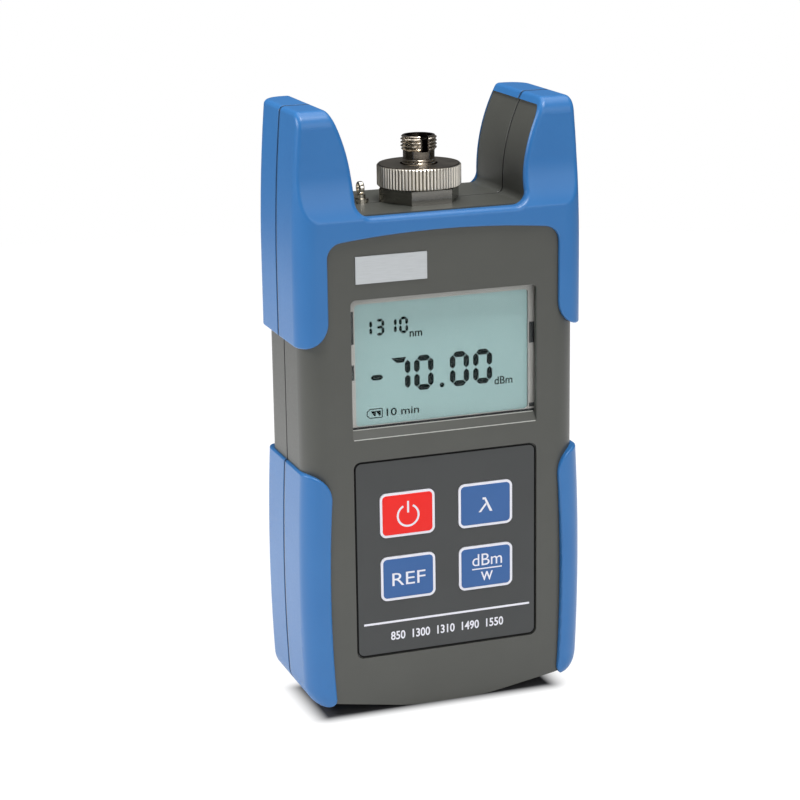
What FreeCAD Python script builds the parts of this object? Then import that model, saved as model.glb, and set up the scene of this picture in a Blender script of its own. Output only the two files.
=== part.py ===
import FreeCAD, Part
import os
import re
from math import asin, cos, degrees, radians, sin, sqrt, tan
import Sketcher
from FreeCAD import Placement, Rotation, Vector

# Handheld optical power meter: a two-part moulded case with an elastomer overmould, an LCD,
# four keys, a three-cell battery bay behind a sliding door, and a screw-on fibre adapter.
# X is across the face, -Y is the front, +Z is up.  The origin is in the middle of the foot.

doc = FreeCAD.newDocument("optical_power_meter")

# ---------------------------------------------------------------- driving sizes, in millimetres
SIZES = {
    # case, whose length is the sum of what its face carries, from the foot up
    "pad_low": 12.85, "pad_height": 45.75, "bridge": 5.0, "window_height": 31.25,
    "plate_rise": 3.45, "plate_height": 6.1, "plate_drop": 4.6, "band_height": 3.85,
    "panel_half_width": 21.65, "side_margin": 10.35, "case_corner": 6.5, "case_wall": 2.2,
    "seam_gap": 0.3, "seam_lip": 1.0, "seam_lip_reach": 1.8, "seam_lip_gap": 0.1,
    "foot_half_width": 5.0, "foot_curve": 45.0, "foot_angle": 9.4, "foot_chamfer": 3.0,
    "floor_height": 5.2,
    # horns that stand either side of the fibre port
    "horn_width": 12.1, "horn_height": 22.5, "horn_flare_rise": 3.0, "horn_flare_out": 4.4,
    "horn_root_fillet": 1.5, "lean_drop": 12.85, "lean_in": 1.68, "horn_edge": 1.2,
    # elastomer overmould
    "skin_front": 0.7, "skin_side": 1.3, "skin_corner": 5.2, "skin_top": 1.3,
    "skin_inner": 0.35, "skin_edge": 0.45,
    "band_inset": 2.0, "band_bow": 1.3, "rim_drop": 0.3, "rim_root_fillet": 3.0,
    "scoop_drop": 0.6, "scoop_depth": 3.0, "scoop_radius": 19.5, "scoop_nose": 3.6, "scoop_skin": 1.0,
    "guard_wrap": 5.2, "guard_corner": 3.5, "guard_length": 28.05, "guard_end_corner": 5.8,
    "grip_wrap": 4.45, "grip_top": 56.4, "grip_top_corner": 5.6, "grip_hollow_height": 28.0,
    "grip_hollow_radius": 334.0, "grip_toe_corner": 2.6,
    "grip_bulge": 1.4, "grip_bulge_height": 30.0, "grip_bulge_radius": 460.0,
    "grip_foot_corner": 5.5, "grip_foot": 1.8, "grip_foot_round": 2.5,
    # display
    "window_depth": 1.5, "window_corner": 1.2, "ledge_rise": 1.8, "lens_lap": 1.0,
    "lens_thickness": 0.8, "lens_gap": 0.15, "frame_lip": 0.5, "glass_thickness": 2.0,
    "light_thickness": 2.0, "frame_foot": 2.4, "glass_gap": 0.1, "frame_wall": 0.9,
    "sight_left_inset": 1.3, "sight_right_inset": 1.05, "sight_rise": 3.15, "sight_drop": 1.2,
    # keypad
    "pad_corner": 1.6, "pad_depth": 0.55, "film_thickness": 0.35, "film_gap": 0.22,
    "key_half_space": 2.84, "key_width": 12.9, "key_height": 10.25, "key_corner": 1.5,
    "key_row_drop": 13.04, "key_pitch": 14.76, "key_proud": 0.15, "key_gap": 0.12,
    "key_travel": 0.4, "key_well": 0.65, "plunger_radius": 1.6, "plunger_gap": 0.3,
    "plunger_space": 0.05,
    # circuit board and what is on it
    "board_thickness": 1.6, "board_margin": 1.9, "board_low": 11.8, "board_drop": 11.85,
    "board_space": 1.75, "switch_size": 6.0, "switch_body": 3.4, "switch_button": 1.75,
    "switch_button_height": 0.4, "board_screw_side": 2.4, "board_screw_end": 3.0,
    "boss_radius": 2.2, "boss_root": 0.5, "screw_radius": 0.95, "screw_head": 1.8,
    "screw_head_height": 1.2, "pilot_gap": 0.05, "screw_tip": 1.2, "head_gap": 0.25,
    "processor": 10.0, "processor_x": 3.0, "processor_drop": 21.0, "amplifier": 5.0,
    "amplifier_x": -12.0, "amplifier_drop": 9.0, "crystal_length": 8.0, "crystal_width": 3.0,
    "crystal_x": 14.0, "crystal_drop": 10.0, "chip_height": 1.2,
    # case screws
    "case_screw_side": 9.6, "case_screw_drop": 8.85, "case_screw_low_x": 12.0,
    "case_screw_low": 8.95, "case_boss": 2.6, "case_screw_radius": 1.2, "case_head": 2.3,
    "case_head_height": 1.5, "case_head_depth": 3.0,
    # plate
    "plate_left": 20.5, "plate_right": 4.05, "plate_depth": 0.3, "plate_thickness": 0.5,
    "plate_gap": 0.05,
    # battery bay
    "cell_radius": 7.25, "cell_length": 49.5, "cell_nub_radius": 2.6, "cell_nub": 1.0,
    "cell_gap": 0.35, "cell_foot": 16.4, "bay_wall": 1.4, "bay_end": 2.4,
    "door_margin": 2.05, "door_lap": 1.3, "door_thickness": 1.65, "door_gap": 0.2,
    "door_tongue": 1.0, "door_tongue_thickness": 0.8, "ledge_thickness": 1.7,
    "thumb_width": 16.0, "thumb_depth": 0.5, "thumb_pitch": 2.4, "thumb_rows": 4,
    "thumb_drop": 16.0, "contact_thickness": 0.4, "contact_width": 9.0, "contact_reach": 4.5,
    "contact_button": 2.2,
    # fibre port, whose heights add up from the deck
    "port_neck": 7.5, "hex_shoulder": 0.6, "hex_height": 3.1, "neck_length": 2.2,
    "port_stem": 5.5, "port_stem_length": 6.5, "port_hole_gap": 0.2, "port_shoulder": 1.1,
    "port_window": 2.0, "locknut_wall": 1.5, "locknut_height": 2.2,
    "nut_foot_gap": 0.1, "nut_lip": 1.4, "nut_lip_gap": 0.1, "nut_wall": 1.76,
    "nut_hole_gap": 0.2, "nut_bevel": 0.35, "knurl_count": 72, "knurl_depth": 0.3,
    "thread_gap": 0.08, "flange_inset": 0.3, "flange_height": 1.3,
    "barrel_radius": 4.0, "barrel_rise": 4.45, "barrel_length": 3.3, "barrel_bevel": 0.45,
    "barrel_wall": 0.95, "barrel_depth": 4.45, "neck_inset": 0.5, "ring_inset": 0.25,
    "ring_rise": 1.4, "ring_height": 0.45, "ring_pitch": 0.7,
    "ferrule_radius": 1.25, "sleeve_wall": 0.5, "sleeve_drop": 0.95,
    "key_slot": 1.95, "key_slot_length": 3.5,
    "detector_radius": 2.7, "detector_height": 4.4, "detector_flange": 3.1,
    "detector_flange_height": 1.0, "detector_gap": 0.3, "lead_radius": 0.23,
    "lead_circle": 1.27, "lead_hole": 0.3, "lead_end": 0.6,
    "sensor_board_lap": 0.3, "sensor_board_thickness": 1.0, "header_half_width": 4.0,
    "header_depth": 2.2, "header_overlap": 2.0,
    # tether eye
    "eye_side": 6.7, "eye_y": 1.6, "eye_post": 1.0, "eye_collar": 1.85,
    "eye_collar_height": 0.9, "eye_neck": 1.15, "eye_neck_height": 0.9, "eye_ring": 1.5,
    "eye_hole": 0.9, "eye_width": 1.2, "eye_round": 0.35, "eye_sink": 0.15,
    "eye_post_length": 4.4, "eye_clip": 2.2, "eye_clip_thickness": 0.5,
}

# Places and sizes that follow from the ones above.
FOLLOWING = {
    "pad_high": "pad_low + pad_height",
    "window_low": "pad_high + bridge",
    "window_high": "window_low + window_height",
    "plate_low": "window_high + plate_rise",
    "plate_high": "plate_low + plate_height",
    "band_low": "plate_high + plate_drop",
    "deck_height": "band_low + band_height",
    "case_half_width": "panel_half_width + side_margin",
    "display_depth": "window_depth + lens_thickness + frame_lip + glass_thickness"
                     " + light_thickness + frame_foot",
    "bay_depth": "bay_wall + 2 * cell_gap + 2 * cell_radius + door_thickness",
    "case_half_depth": "(display_depth + board_thickness + board_space + bay_depth) / 2",
    "horn_inner": "case_half_width - horn_width",
    "horn_top": "deck_height + horn_height",
    "horn_flare_start": "deck_height + horn_flare_rise",
    "lean_start": "deck_height - lean_drop",
    "guard_edge": "case_half_width - guard_wrap",
    "guard_end": "deck_height - guard_length",
    "grip_edge": "case_half_width - grip_wrap",
    "key_x": "key_half_space + key_width / 2",
    "key_row_high": "pad_high - key_row_drop",
    "key_row_low": "key_row_high - key_pitch",
    "board_front": "case_half_depth - display_depth",
    "board_half_width": "case_half_width - case_wall - board_margin",
    "board_high": "deck_height - board_drop",
    "board_screw_x": "board_half_width - board_screw_side",
    "board_screw_low": "board_low + board_screw_end",
    "board_screw_high": "board_high - board_screw_end",
    "case_screw_x": "case_half_width - case_screw_side",
    "case_screw_high": "deck_height - case_screw_drop",
    "bay_half_width": "3 * cell_radius + 2 * cell_gap",
    "bay_low": "cell_foot - bay_end",
    "bay_high": "cell_foot + cell_length + cell_nub + bay_end",
    "door_half_width": "bay_half_width + door_margin",
    "door_high": "bay_high + bay_wall + door_lap",
    "hex_flats": "2 * (port_neck + hex_shoulder)",
    "neck_top": "hex_height + neck_length",
    "flange_top": "neck_top + flange_height",
    "port_bore": "detector_flange + detector_gap",
    "locknut_flats": "2 * (port_stem + locknut_wall)",
    "nut_radius": "port_neck + thread_gap + nut_wall",
    "nut_low": "hex_height + nut_foot_gap",
    "nut_top": "flange_top + nut_lip_gap + nut_lip",
    "barrel_low": "flange_top + barrel_rise",
    "barrel_high": "barrel_low + barrel_length",
    "eye_x": "eye_side - horn_inner",
}

sheet = doc.addObject("Spreadsheet::Sheet", "Sizes")
cells = [(alias, str(number)) for alias, number in SIZES.items()]
cells += [(alias, "=" + formula) for alias, formula in FOLLOWING.items()]
for row, (alias, content) in enumerate(cells, start=1):
    sheet.set(f"A{row}", alias)
    sheet.set(f"B{row}", content)
    sheet.setAlias(f"B{row}", alias)
doc.recompute()


class Sizes:
    """Read a size from the sheet by its alias."""

    def __getattr__(self, alias):
        return float(sheet.get(alias))


s = Sizes()
SUBPARTS = []


# ---------------------------------------------------------------- small helpers
def bound(text):
    """Turn an expression in plain aliases into one that FreeCAD reads from the sheet."""
    names = sorted([*SIZES, *FOLLOWING], key=len, reverse=True)
    return re.sub(r"\b(" + "|".join(names) + r")\b", r"Sizes.\1", str(text))


def bind(obj, **expressions):
    """Tie properties of an object to the sheet; x, y and z are its place."""
    for name, text in expressions.items():
        path = f".Placement.Base.{name}" if name in "xyz" else name
        obj.setExpression(path, bound(text))
    return obj


def box(name, x, y, z, length, width, height):
    item = doc.addObject("Part::Box", name)
    return bind(item, x=x, y=y, z=z, Length=length, Width=width, Height=height)


def rod(name, x, y, z, radius, height, along="Z"):
    """A cylinder that starts at x, y, z and runs along +Z, or along +Y."""
    item = doc.addObject("Part::Cylinder", name)
    if along == "Y":
        item.Placement = Placement(Vector(), Rotation(Vector(1, 0, 0), -90))
    return bind(item, x=x, y=y, z=z, Radius=radius, Height=height)


def join(name, *items):
    item = doc.addObject("Part::MultiFuse", name)
    item.Shapes = list(items)
    return item


def take(name, base, *tools):
    item = doc.addObject("Part::Cut", name)
    item.Base = base
    item.Tool = tools[0] if len(tools) == 1 else join(name + "_tools", *tools)
    return item


def group(name, *items):
    item = doc.addObject("Part::Compound", name)
    item.Links = list(items)
    return item


def modelled(name, shape):
    item = doc.addObject("Part::Feature", name)
    item.Shape = shape
    return item


def subpart(item, label):
    """Name a finished sub-part; its label is also its file's name."""
    item.Label = label
    SUBPARTS.append(item)
    return item


def face_outline(items):
    """A closed wire in the XZ plane from a start point, then one item for each edge:
    ("line", end) or ("arc", mid, end)."""
    here, edges = Vector(items[0][0], 0, items[0][1]), []
    for kind, *points in items[1:] + [("line", items[0])]:
        ends = [Vector(x, 0, z) for x, z in points]
        if (ends[-1] - here).Length < 1e-6:
            continue
        if kind == "line":
            edges.append(Part.LineSegment(here, ends[0]).toShape())
        else:
            edges.append(Part.Arc(here, ends[0], ends[1]).toShape())
        here = ends[-1]
    return Part.Wire(edges)


def slab(items, low, high):
    """The outline as a solid between two depths along Y."""
    face = Part.Face(face_outline(items))
    solid = face.extrude(Vector(0, high - low, 0))
    solid.translate(Vector(0, low, 0))
    return solid


def block(x, y, z):
    """A box between pairs of limits."""
    return Part.makeBox(x[1] - x[0], y[1] - y[0], z[1] - z[0], Vector(x[0], y[0], z[0]))


def post(x, z, radius, low, high):
    """A cylinder along Y between two depths."""
    return Part.makeCylinder(radius, high - low, Vector(x, low, z), Vector(0, 1, 0))


def mirrored(shape, normal):
    return shape.mirror(Vector(), normal)


def edges_where(shape, test):
    return [edge for edge in shape.Edges if test(edge)]


def middle(edge):
    return edge.valueAt((edge.FirstParameter + edge.LastParameter) / 2)


def along(edge, axis):
    """Whether a straight edge runs along the axis."""
    if edge.Curve.TypeId != "Part::GeomLine":
        return False
    return abs(abs(edge.tangentAt(edge.FirstParameter).dot(axis)) - 1) < 1e-6


def corner_arc(centre, radius, start, end):
    """Mid and end points of an arc, with its angles in degrees."""
    def point(angle):
        return (centre[0] + radius * cos(radians(angle)), centre[1] + radius * sin(radians(angle)))
    return ("arc", point((start + end) / 2), point(end))


def rounded_rectangle(x, z, radius):
    """Outline of a rectangle with rounded corners between limits in X and Z."""
    (x0, x1), (z0, z1) = x, z
    return [
        (x0 + radius, z0),
        ("line", (x1 - radius, z0)), corner_arc((x1 - radius, z0 + radius), radius, -90, 0),
        ("line", (x1, z1 - radius)), corner_arc((x1 - radius, z1 - radius), radius, 0, 90),
        ("line", (x0 + radius, z1)), corner_arc((x0 + radius, z1 - radius), radius, 90, 180),
        ("line", (x0, z0 + radius)), corner_arc((x0 + radius, z0 + radius), radius, 180, 270),
    ]


BACK, ACROSS, UP = Vector(0, 1, 0), Vector(1, 0, 0), Vector(0, 0, 1)


# ---------------------------------------------------------------- outlines seen from the front
def both_sides(half):
    """Close a right-hand half outline, which starts and ends at x = 0, with its mirror image."""
    starts = [half[0]] + [item[-1] for item in half[1:-1]]
    left = []
    for item, start in zip(reversed(half[1:]), reversed(starts)):
        flipped = [(-x, z) for x, z in reversed(item[1:-1])]
        left.append((item[0], *flipped, (-start[0], start[1])))
    return half + left


def on_circle(centre, radius, z, side=1):
    """Point of a circle at a height, on its right or left."""
    return (centre[0] + side * sqrt(radius ** 2 - (z - centre[1]) ** 2), z)


def arc_between(centre, radius, low, high, side=1):
    """Arc of a circle between two heights, on its right or left."""
    return ("arc", on_circle(centre, radius, (low + high) / 2, side),
            on_circle(centre, radius, high, side))


def foot_height(x):
    """Height of the sloping part of the underside at a distance from the middle."""
    angle = radians(s.foot_angle)
    start = s.foot_half_width + s.foot_curve * sin(angle)
    return s.foot_curve * (1 - cos(angle)) + (x - start) * tan(angle)


def core_top():
    return s.horn_top - s.skin_top


def leaning_radius(rise, shift):
    """Radius of an arc that starts upright and has moved sideways by shift after a rise."""
    return (rise ** 2 + shift ** 2) / (2 * shift)


def flare():
    """Centre and radius of the arc along a horn's hard inner face."""
    radius = leaning_radius(core_top() - s.horn_flare_start, s.horn_flare_out)
    return (s.horn_inner + radius, s.horn_flare_start), radius


def lean(side):
    """Centre and radius of the arc along the upper part of a side."""
    radius = leaning_radius(s.horn_top - s.lean_start, s.lean_in)
    return (side - radius, s.lean_start), radius


def core_outline():
    """The hard case from the front: foot, sides, horns and the deck between them."""
    side = s.case_half_width
    foot_end = side - s.foot_chamfer
    foot = (s.foot_half_width, s.foot_curve)
    flare_at, flare_radius = flare()
    root = (s.horn_inner - s.horn_root_fillet, s.deck_height + s.horn_root_fillet)
    return both_sides([
        (0, 0),
        ("line", (s.foot_half_width, 0)),
        corner_arc(foot, s.foot_curve, -90, -90 + s.foot_angle),
        ("line", (foot_end, foot_height(foot_end))),
        ("line", (side, foot_height(foot_end) + s.foot_chamfer)),
        ("line", (side, s.lean_start)),
        arc_between(*lean(side), s.lean_start, core_top()),
        ("line", on_circle(flare_at, flare_radius, core_top(), -1)),
        arc_between(flare_at, flare_radius, core_top(), s.horn_flare_start, -1),
        ("line", (s.horn_inner, root[1])),
        corner_arc(root, s.horn_root_fillet, 0, -90),
        ("line", (0, s.deck_height)),
    ])


def rim_height():
    return s.deck_height - s.rim_drop


def band_centre():
    """The band's lower edge is an arc that drops by band_bow at the guard corner's centre."""
    reach = s.guard_edge - s.guard_corner
    radius = (reach ** 2 + s.band_bow ** 2) / (2 * s.band_bow)
    return (0, s.band_low - radius), radius


def guard_outline():
    """The upper overmould: band across the front, guards down the sides, sleeves on the horns."""
    side_arc = lean(s.case_half_width + s.skin_side)
    flare_at, flare_radius = flare()
    flare_radius += s.skin_inner
    inner = s.horn_inner - s.skin_inner
    band, band_radius = band_centre()
    corner_x = s.guard_edge - s.guard_corner
    corner = (corner_x, band[1] + sqrt((band_radius - s.guard_corner) ** 2 - corner_x ** 2))
    meet = Vector(corner[0] - band[0], 0, corner[1] - band[1]).normalize() * band_radius
    meet_angle = 90 - degrees(Vector(meet).getAngle(UP))
    end_corner = (s.guard_edge + s.guard_end_corner, s.guard_end + s.guard_end_corner)
    root = (inner - s.rim_root_fillet, rim_height() + s.rim_root_fillet)
    return both_sides([
        (0, s.band_low),
        corner_arc(band, band_radius, 90, meet_angle),
        corner_arc(corner, s.guard_corner, meet_angle, 0),
        ("line", (s.guard_edge, end_corner[1])),
        corner_arc(end_corner, s.guard_end_corner, 180, 270),
        ("line", (s.case_half_width + s.skin_side, s.guard_end)),
        ("line", (s.case_half_width + s.skin_side, s.lean_start)),
        arc_between(*side_arc, s.lean_start, s.horn_top),
        ("line", on_circle(flare_at, flare_radius, s.horn_top, -1)),
        arc_between(flare_at, flare_radius, s.horn_top, s.horn_flare_start, -1),
        ("line", (inner, root[1])),
        corner_arc(root, s.rim_root_fillet, 0, -90),
        ("line", (0, rim_height())),
    ])


def hollow_end(height, radius):
    """Centre of a rounded end of the grip's hollow inner edge, and the angle where they meet."""
    reach, rise = s.grip_hollow_radius + radius, height - s.grip_hollow_height
    centre = s.grip_edge - s.grip_hollow_radius + sqrt(reach ** 2 - rise ** 2)
    return (centre, height), 180 + degrees(asin(rise / reach))


def grip_outline():
    """The right-hand lower grip from the front."""
    bulge = (s.case_half_width + s.grip_bulge - s.grip_bulge_radius, s.grip_bulge_height)
    corner_z = s.grip_foot + s.grip_foot_corner
    reach = s.grip_bulge_radius - s.grip_foot_corner
    corner = (bulge[0] + sqrt(reach ** 2 - (corner_z - bulge[1]) ** 2), corner_z)
    meet_angle = degrees(asin((corner_z - bulge[1]) / reach))
    meet = (corner[0] + s.grip_foot_corner * cos(radians(meet_angle)),
            corner[1] + s.grip_foot_corner * sin(radians(meet_angle)))
    top, top_angle = hollow_end(s.grip_top - s.grip_top_corner, s.grip_top_corner)
    hollow = (s.grip_edge - s.grip_hollow_radius, s.grip_hollow_height)
    toe = on_circle(hollow, s.grip_hollow_radius, s.grip_foot)
    return [
        toe,
        ("line", (corner[0], s.grip_foot)),
        corner_arc(corner, s.grip_foot_corner, -90, meet_angle),
        ("arc", on_circle(bulge, s.grip_bulge_radius, s.grip_bulge_height),
         on_circle(bulge, s.grip_bulge_radius, s.grip_top)),
        ("line", (top[0], s.grip_top)),
        corner_arc(top, s.grip_top_corner, 90, top_angle),
        ("arc", (s.grip_edge, s.grip_hollow_height), toe),
    ]


def toe_waste():
    """What is rounded off the grip's inner corner at the foot."""
    toe, toe_angle = hollow_end(s.grip_foot + s.grip_toe_corner, s.grip_toe_corner)
    start, round_toe = (toe[0], s.grip_foot), corner_arc(toe, s.grip_toe_corner, 270, toe_angle)
    beyond = (start[0] - 2 * s.grip_toe_corner, s.grip_foot - 1)
    return [start, round_toe, ("line", (beyond[0], round_toe[-1][1])), ("line", beyond),
            ("line", (start[0], beyond[1]))]


# ---------------------------------------------------------------- overmould
def skin_front_plane():
    return -s.case_half_depth - s.skin_front


def scoop():
    """What is hollowed from the front of the horns above the band, as a bar along X."""
    front, start = skin_front_plane(), s.deck_height - s.scoop_drop
    rise = sqrt(s.scoop_radius ** 2 - (s.scoop_radius - s.scoop_depth) ** 2)
    back = front + s.scoop_depth
    bowl = (back - s.scoop_radius, start + rise)
    nose, top, far = (back + s.scoop_nose, s.horn_top - s.scoop_nose), s.horn_top + 1, front - 5
    wire = face_outline([
        (far, start),
        ("line", (front, start)),
        corner_arc(bowl, s.scoop_radius, -degrees(asin(rise / s.scoop_radius)), 0),
        ("line", (back, nose[1])),
        corner_arc(nose, s.scoop_nose, 180, 90),
        ("line", (nose[0], top)),
        ("line", (far, top)),
    ])
    reach = s.case_half_width + s.skin_side + 5
    wire.rotate(Vector(), UP, 90)
    bar = Part.Face(wire).extrude(Vector(2 * reach, 0, 0))
    bar.translate(Vector(-reach, 0, 0))
    return bar


def inner_scoop():
    """The scoop as the hard case under the skin has it."""
    bar = scoop()
    bar.translate(Vector(0, s.scoop_skin, -s.scoop_skin))
    return bar


def upper_guard_blank(scooped):
    """Half of the upper overmould before the hard case is taken out of it."""
    front, seam = skin_front_plane(), -s.seam_gap / 2
    solid = slab(guard_outline(), front, seam)

    def on_side(edge):
        spot = middle(edge)
        return (abs(spot.x) > s.case_half_width and abs(spot.y - front) < 1e-6
                and not along(edge, ACROSS))

    def on_top(edge):
        return middle(edge).y < seam - 1e-6 and all(
            abs(v.Z - s.horn_top) < 1e-6 for v in edge.Vertexes)

    def outside(edge):
        return on_top(edge) and abs(middle(edge).x) > s.guard_edge and not along(edge, ACROSS)

    def inside(edge):
        spot = middle(edge)
        in_front = spot.y < front + s.scoop_depth + s.scoop_nose
        raised = spot.z > rim_height() + 0.01 and (along(edge, ACROSS) or along(edge, BACK))
        return (in_front and abs(spot.x) < s.guard_edge and not raised
                and all(v.Z > rim_height() - 0.01 for v in edge.Vertexes))

    solid = solid.makeFillet(s.skin_corner, edges_where(solid, on_side))
    if not scooped:
        return solid.makeFillet(s.horn_edge, edges_where(
            solid, lambda edge: on_top(edge) or inside(edge)))
    solid = solid.cut(scoop())
    solid = solid.makeFillet(s.horn_edge, edges_where(solid, outside))
    return solid.makeFillet(s.horn_edge, edges_where(solid, inside))


def upper_guard(scooped):
    """Half of the upper overmould, hollow where the hard case fills it: the front half, or
    the rear half turned to the front."""
    seam, front = -s.seam_gap / 2, -s.case_half_depth
    solid = upper_guard_blank(scooped)

    def at_end(edge):
        spot = middle(edge)
        across_band = spot.z < s.band_low + 0.01 and abs(spot.x) < s.guard_edge + 0.01
        guard_foot = all(v.Z < s.guard_end + s.guard_end_corner + 0.01 for v in edge.Vertexes)
        return (across_band or guard_foot) and spot.y < seam - 1e-6 and not along(edge, BACK)

    solid = solid.makeFillet(s.skin_edge, edges_where(solid, at_end))
    if scooped:
        window = slab(horn_window(), front + s.band_inset, 0).cut(inner_scoop())
        return solid.cut(core()).cut(window).removeSplitter()
    return solid.cut(mirrored(core(), BACK)).cut(slab(horn_window(), front, 0)).removeSplitter()


def horn_window():
    """Where the horns' hard inner faces show: between the horns, up to the top skin's edge."""
    (flare_at, flare_radius), top = flare(), core_top() - s.skin_inner
    return both_sides([
        (0, s.deck_height - s.rim_drop),
        ("line", (s.horn_inner, s.deck_height - s.rim_drop)),
        ("line", (s.horn_inner, s.horn_flare_start)),
        arc_between(flare_at, flare_radius, s.horn_flare_start, top, -1),
        ("line", (0, top)),
    ])


def grip():
    """Front half of the right-hand lower grip, hollow where the hard case fills it."""
    front, seam = skin_front_plane(), -s.seam_gap / 2
    blank = modelled("grip_blank", slab(grip_outline(), front, seam))
    rounded = doc.addObject("Part::Fillet", "grip_rounded")
    rounded.Base = blank
    radii = []
    for number, edge in enumerate(blank.Shape.Edges, start=1):
        spot = middle(edge)
        if abs(spot.y - front) > 1e-6 or along(edge, BACK):
            continue
        if spot.z < s.grip_foot + 1e-6:
            radii.append((number, s.grip_foot_round, s.grip_foot_round))
        elif spot.x > s.case_half_width + s.skin_side / 2 and not along(edge, ACROSS):
            radii.append((number, s.skin_corner, s.skin_corner))
        elif spot.x > s.grip_edge + s.skin_side and spot.z < s.grip_foot + s.grip_foot_corner:
            radii.append((number, s.grip_foot_round, s.skin_corner))
    rounded.Edges = radii
    doc.recompute()
    solid = rounded.Shape

    def at_end(edge):
        spot = middle(edge)
        top = all(v.Z > s.grip_top - 0.01 for v in edge.Vertexes)
        inner = abs(spot.y - front) < 1e-3 and spot.z > s.grip_foot + 0.01
        beside = spot.x < s.grip_edge + s.skin_side
        return (top or (inner and beside)) and spot.y < seam - 1e-6 and not along(edge, BACK)

    solid = solid.makeFillet(s.skin_edge, edges_where(solid, at_end))
    return solid.cut(slab(toe_waste(), front - 1, 0)).cut(core()).removeSplitter()


# ---------------------------------------------------------------- hard case
def core():
    """The hard case as one solid, with the band's seat and the scoop cut from its front."""
    solid = slab(core_outline(), -s.case_half_depth, s.case_half_depth)

    def upright(edge):
        spot = middle(edge)
        above_foot = all(v.Z > s.foot_chamfer for v in edge.Vertexes)
        outside = abs(spot.x) > s.horn_inner + s.case_corner
        level = along(edge, ACROSS) or along(edge, BACK)
        return outside and above_foot and not level and edge.Length > s.case_half_depth

    solid = solid.makeFillet(s.case_corner, edges_where(solid, upright))
    seat = slab(band_seat(), -s.case_half_depth - 1, -s.case_half_depth + s.band_inset)
    return solid.cut(seat).cut(inner_scoop())


def band_seat():
    """Everything above the band's lower edge, from the front."""
    band, band_radius = band_centre()
    reach = s.case_half_width + s.skin_side
    height = band[1] + sqrt(band_radius ** 2 - reach ** 2)
    mid = band[1] + sqrt(band_radius ** 2 - (reach / 2) ** 2)
    return both_sides([
        (0, s.band_low),
        ("arc", (reach / 2, mid), (reach, height)),
        ("line", (reach, s.horn_top + 1)),
        ("line", (0, s.horn_top + 1)),
    ])


def cavity(inset, low, high):
    """The room inside the case's walls, shrunk by an inset, between two depths."""
    half = s.case_half_width - s.case_wall - inset
    top = s.deck_height - s.case_wall - inset
    return block((-half, half), (low, high), (s.floor_height + inset, top))


def hollow(low, high):
    """The room inside one shell, rounded where it runs up to the shell's outer corners."""
    room = cavity(0, low, high)
    corners = edges_where(room, lambda edge: along(edge, UP) and abs(middle(edge).y) > 1)
    return room.makeFillet(s.case_corner - s.case_wall, corners)


def inner_face():
    return s.case_half_depth - s.case_wall


def screw_places():
    """Case screws from the front: two at the top and two at the foot."""
    return [(sign * x, z) for sign in (-1, 1)
            for x, z in ((s.case_screw_x, s.case_screw_high),
                         (s.case_screw_low_x, s.case_screw_low))]


def board_screw_places():
    return [(sign * s.board_screw_x, z) for sign in (-1, 1)
            for z in (s.board_screw_low, s.board_screw_high)]


def key_places():
    """Centres of the four keys, by name."""
    left, right, high, low = -s.key_x, s.key_x, s.key_row_high, s.key_row_low
    return {"key_power": (left, high), "key_wavelength": (right, high),
            "key_reference": (left, low), "key_unit": (right, low)}


def window_cut():
    """The display opening: square walls with a slope along the bottom, and the lens's rebate."""
    half, front = s.panel_half_width, -s.case_half_depth
    seat = front + s.window_depth
    straight = slab(rounded_rectangle((-half, half), (s.window_low + s.ledge_rise, s.window_high),
                                      s.window_corner), front - 1, 0)
    ledge = [Vector(-half, front, s.window_low), Vector(-half, seat, s.window_low + s.ledge_rise),
             Vector(-half, seat, s.window_low + 2 * s.ledge_rise),
             Vector(-half, front, s.window_low + 2 * s.ledge_rise)]
    slope = Part.Face(Part.makePolygon(ledge + ledge[:1])).extrude(Vector(2 * half, 0, 0))
    lap = s.lens_lap
    rebate = block((-half - lap, half + lap), (seat, 0), (s.window_low + s.ledge_rise - lap,
                                                         s.window_high + lap))
    return [straight, slope, rebate]


def front_shell():
    """Front half of the case: window, keypad and plate recesses, bosses inside."""
    seam, front, inside = -s.seam_gap / 2, -s.case_half_depth, -inner_face()
    half = s.case_half_width + s.skin_side
    solid = core().common(block((-half, half), (front - 1, seam), (-1, s.horn_top)))
    solid = solid.cut(hollow(inside, 0))
    cuts = window_cut()
    pad = rounded_rectangle((-s.panel_half_width, s.panel_half_width), (s.pad_low, s.pad_high),
                            s.pad_corner)
    cuts.append(slab(pad, front - 1, front + s.pad_depth))
    for x, z in key_places().values():
        wide, tall = s.key_width / 2 + s.plunger_gap, s.key_height / 2 + s.plunger_gap
        well = rounded_rectangle((x - wide, x + wide), (z - tall, z + tall), s.key_corner)
        cuts.append(slab(well, front - 1, front + s.pad_depth + s.key_well))
        cuts.append(post(x, z, s.plunger_radius + s.plunger_gap, front, 0))
    cuts.append(block((-s.plate_left, -s.plate_right), (front - 1, front + s.plate_depth),
                      (s.plate_low, s.plate_high)))
    solid = solid.cut(Part.makeCompound(cuts))
    root = s.boss_root
    bosses = [post(x, z, s.boss_radius, inside - root, -s.board_front)
              for x, z in board_screw_places()]
    bosses += [post(x, z, s.case_boss, inside - root, seam) for x, z in screw_places()]
    solid = solid.fuse(bosses)
    pilots = [post(x, z, s.screw_radius + s.pilot_gap, inside + root, 0)
              for x, z in board_screw_places()]
    pilots += [post(x, z, s.case_screw_radius + s.pilot_gap, inside + root, 0)
               for x, z in screw_places()]
    return solid.cut(Part.makeCompound(pilots + [port_hole()])).removeSplitter()


def port_hole():
    return Part.makeCylinder(s.port_stem + s.port_hole_gap, 3 * s.case_wall,
                             Vector(0, 0, s.deck_height - 2 * s.case_wall))


def bay_front():
    """Depth of the bay's floor, which lies in front of the cells."""
    return door_inside() - s.cell_gap - 2 * s.cell_radius - s.cell_gap


def door_inside():
    return s.case_half_depth - s.door_thickness


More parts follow.
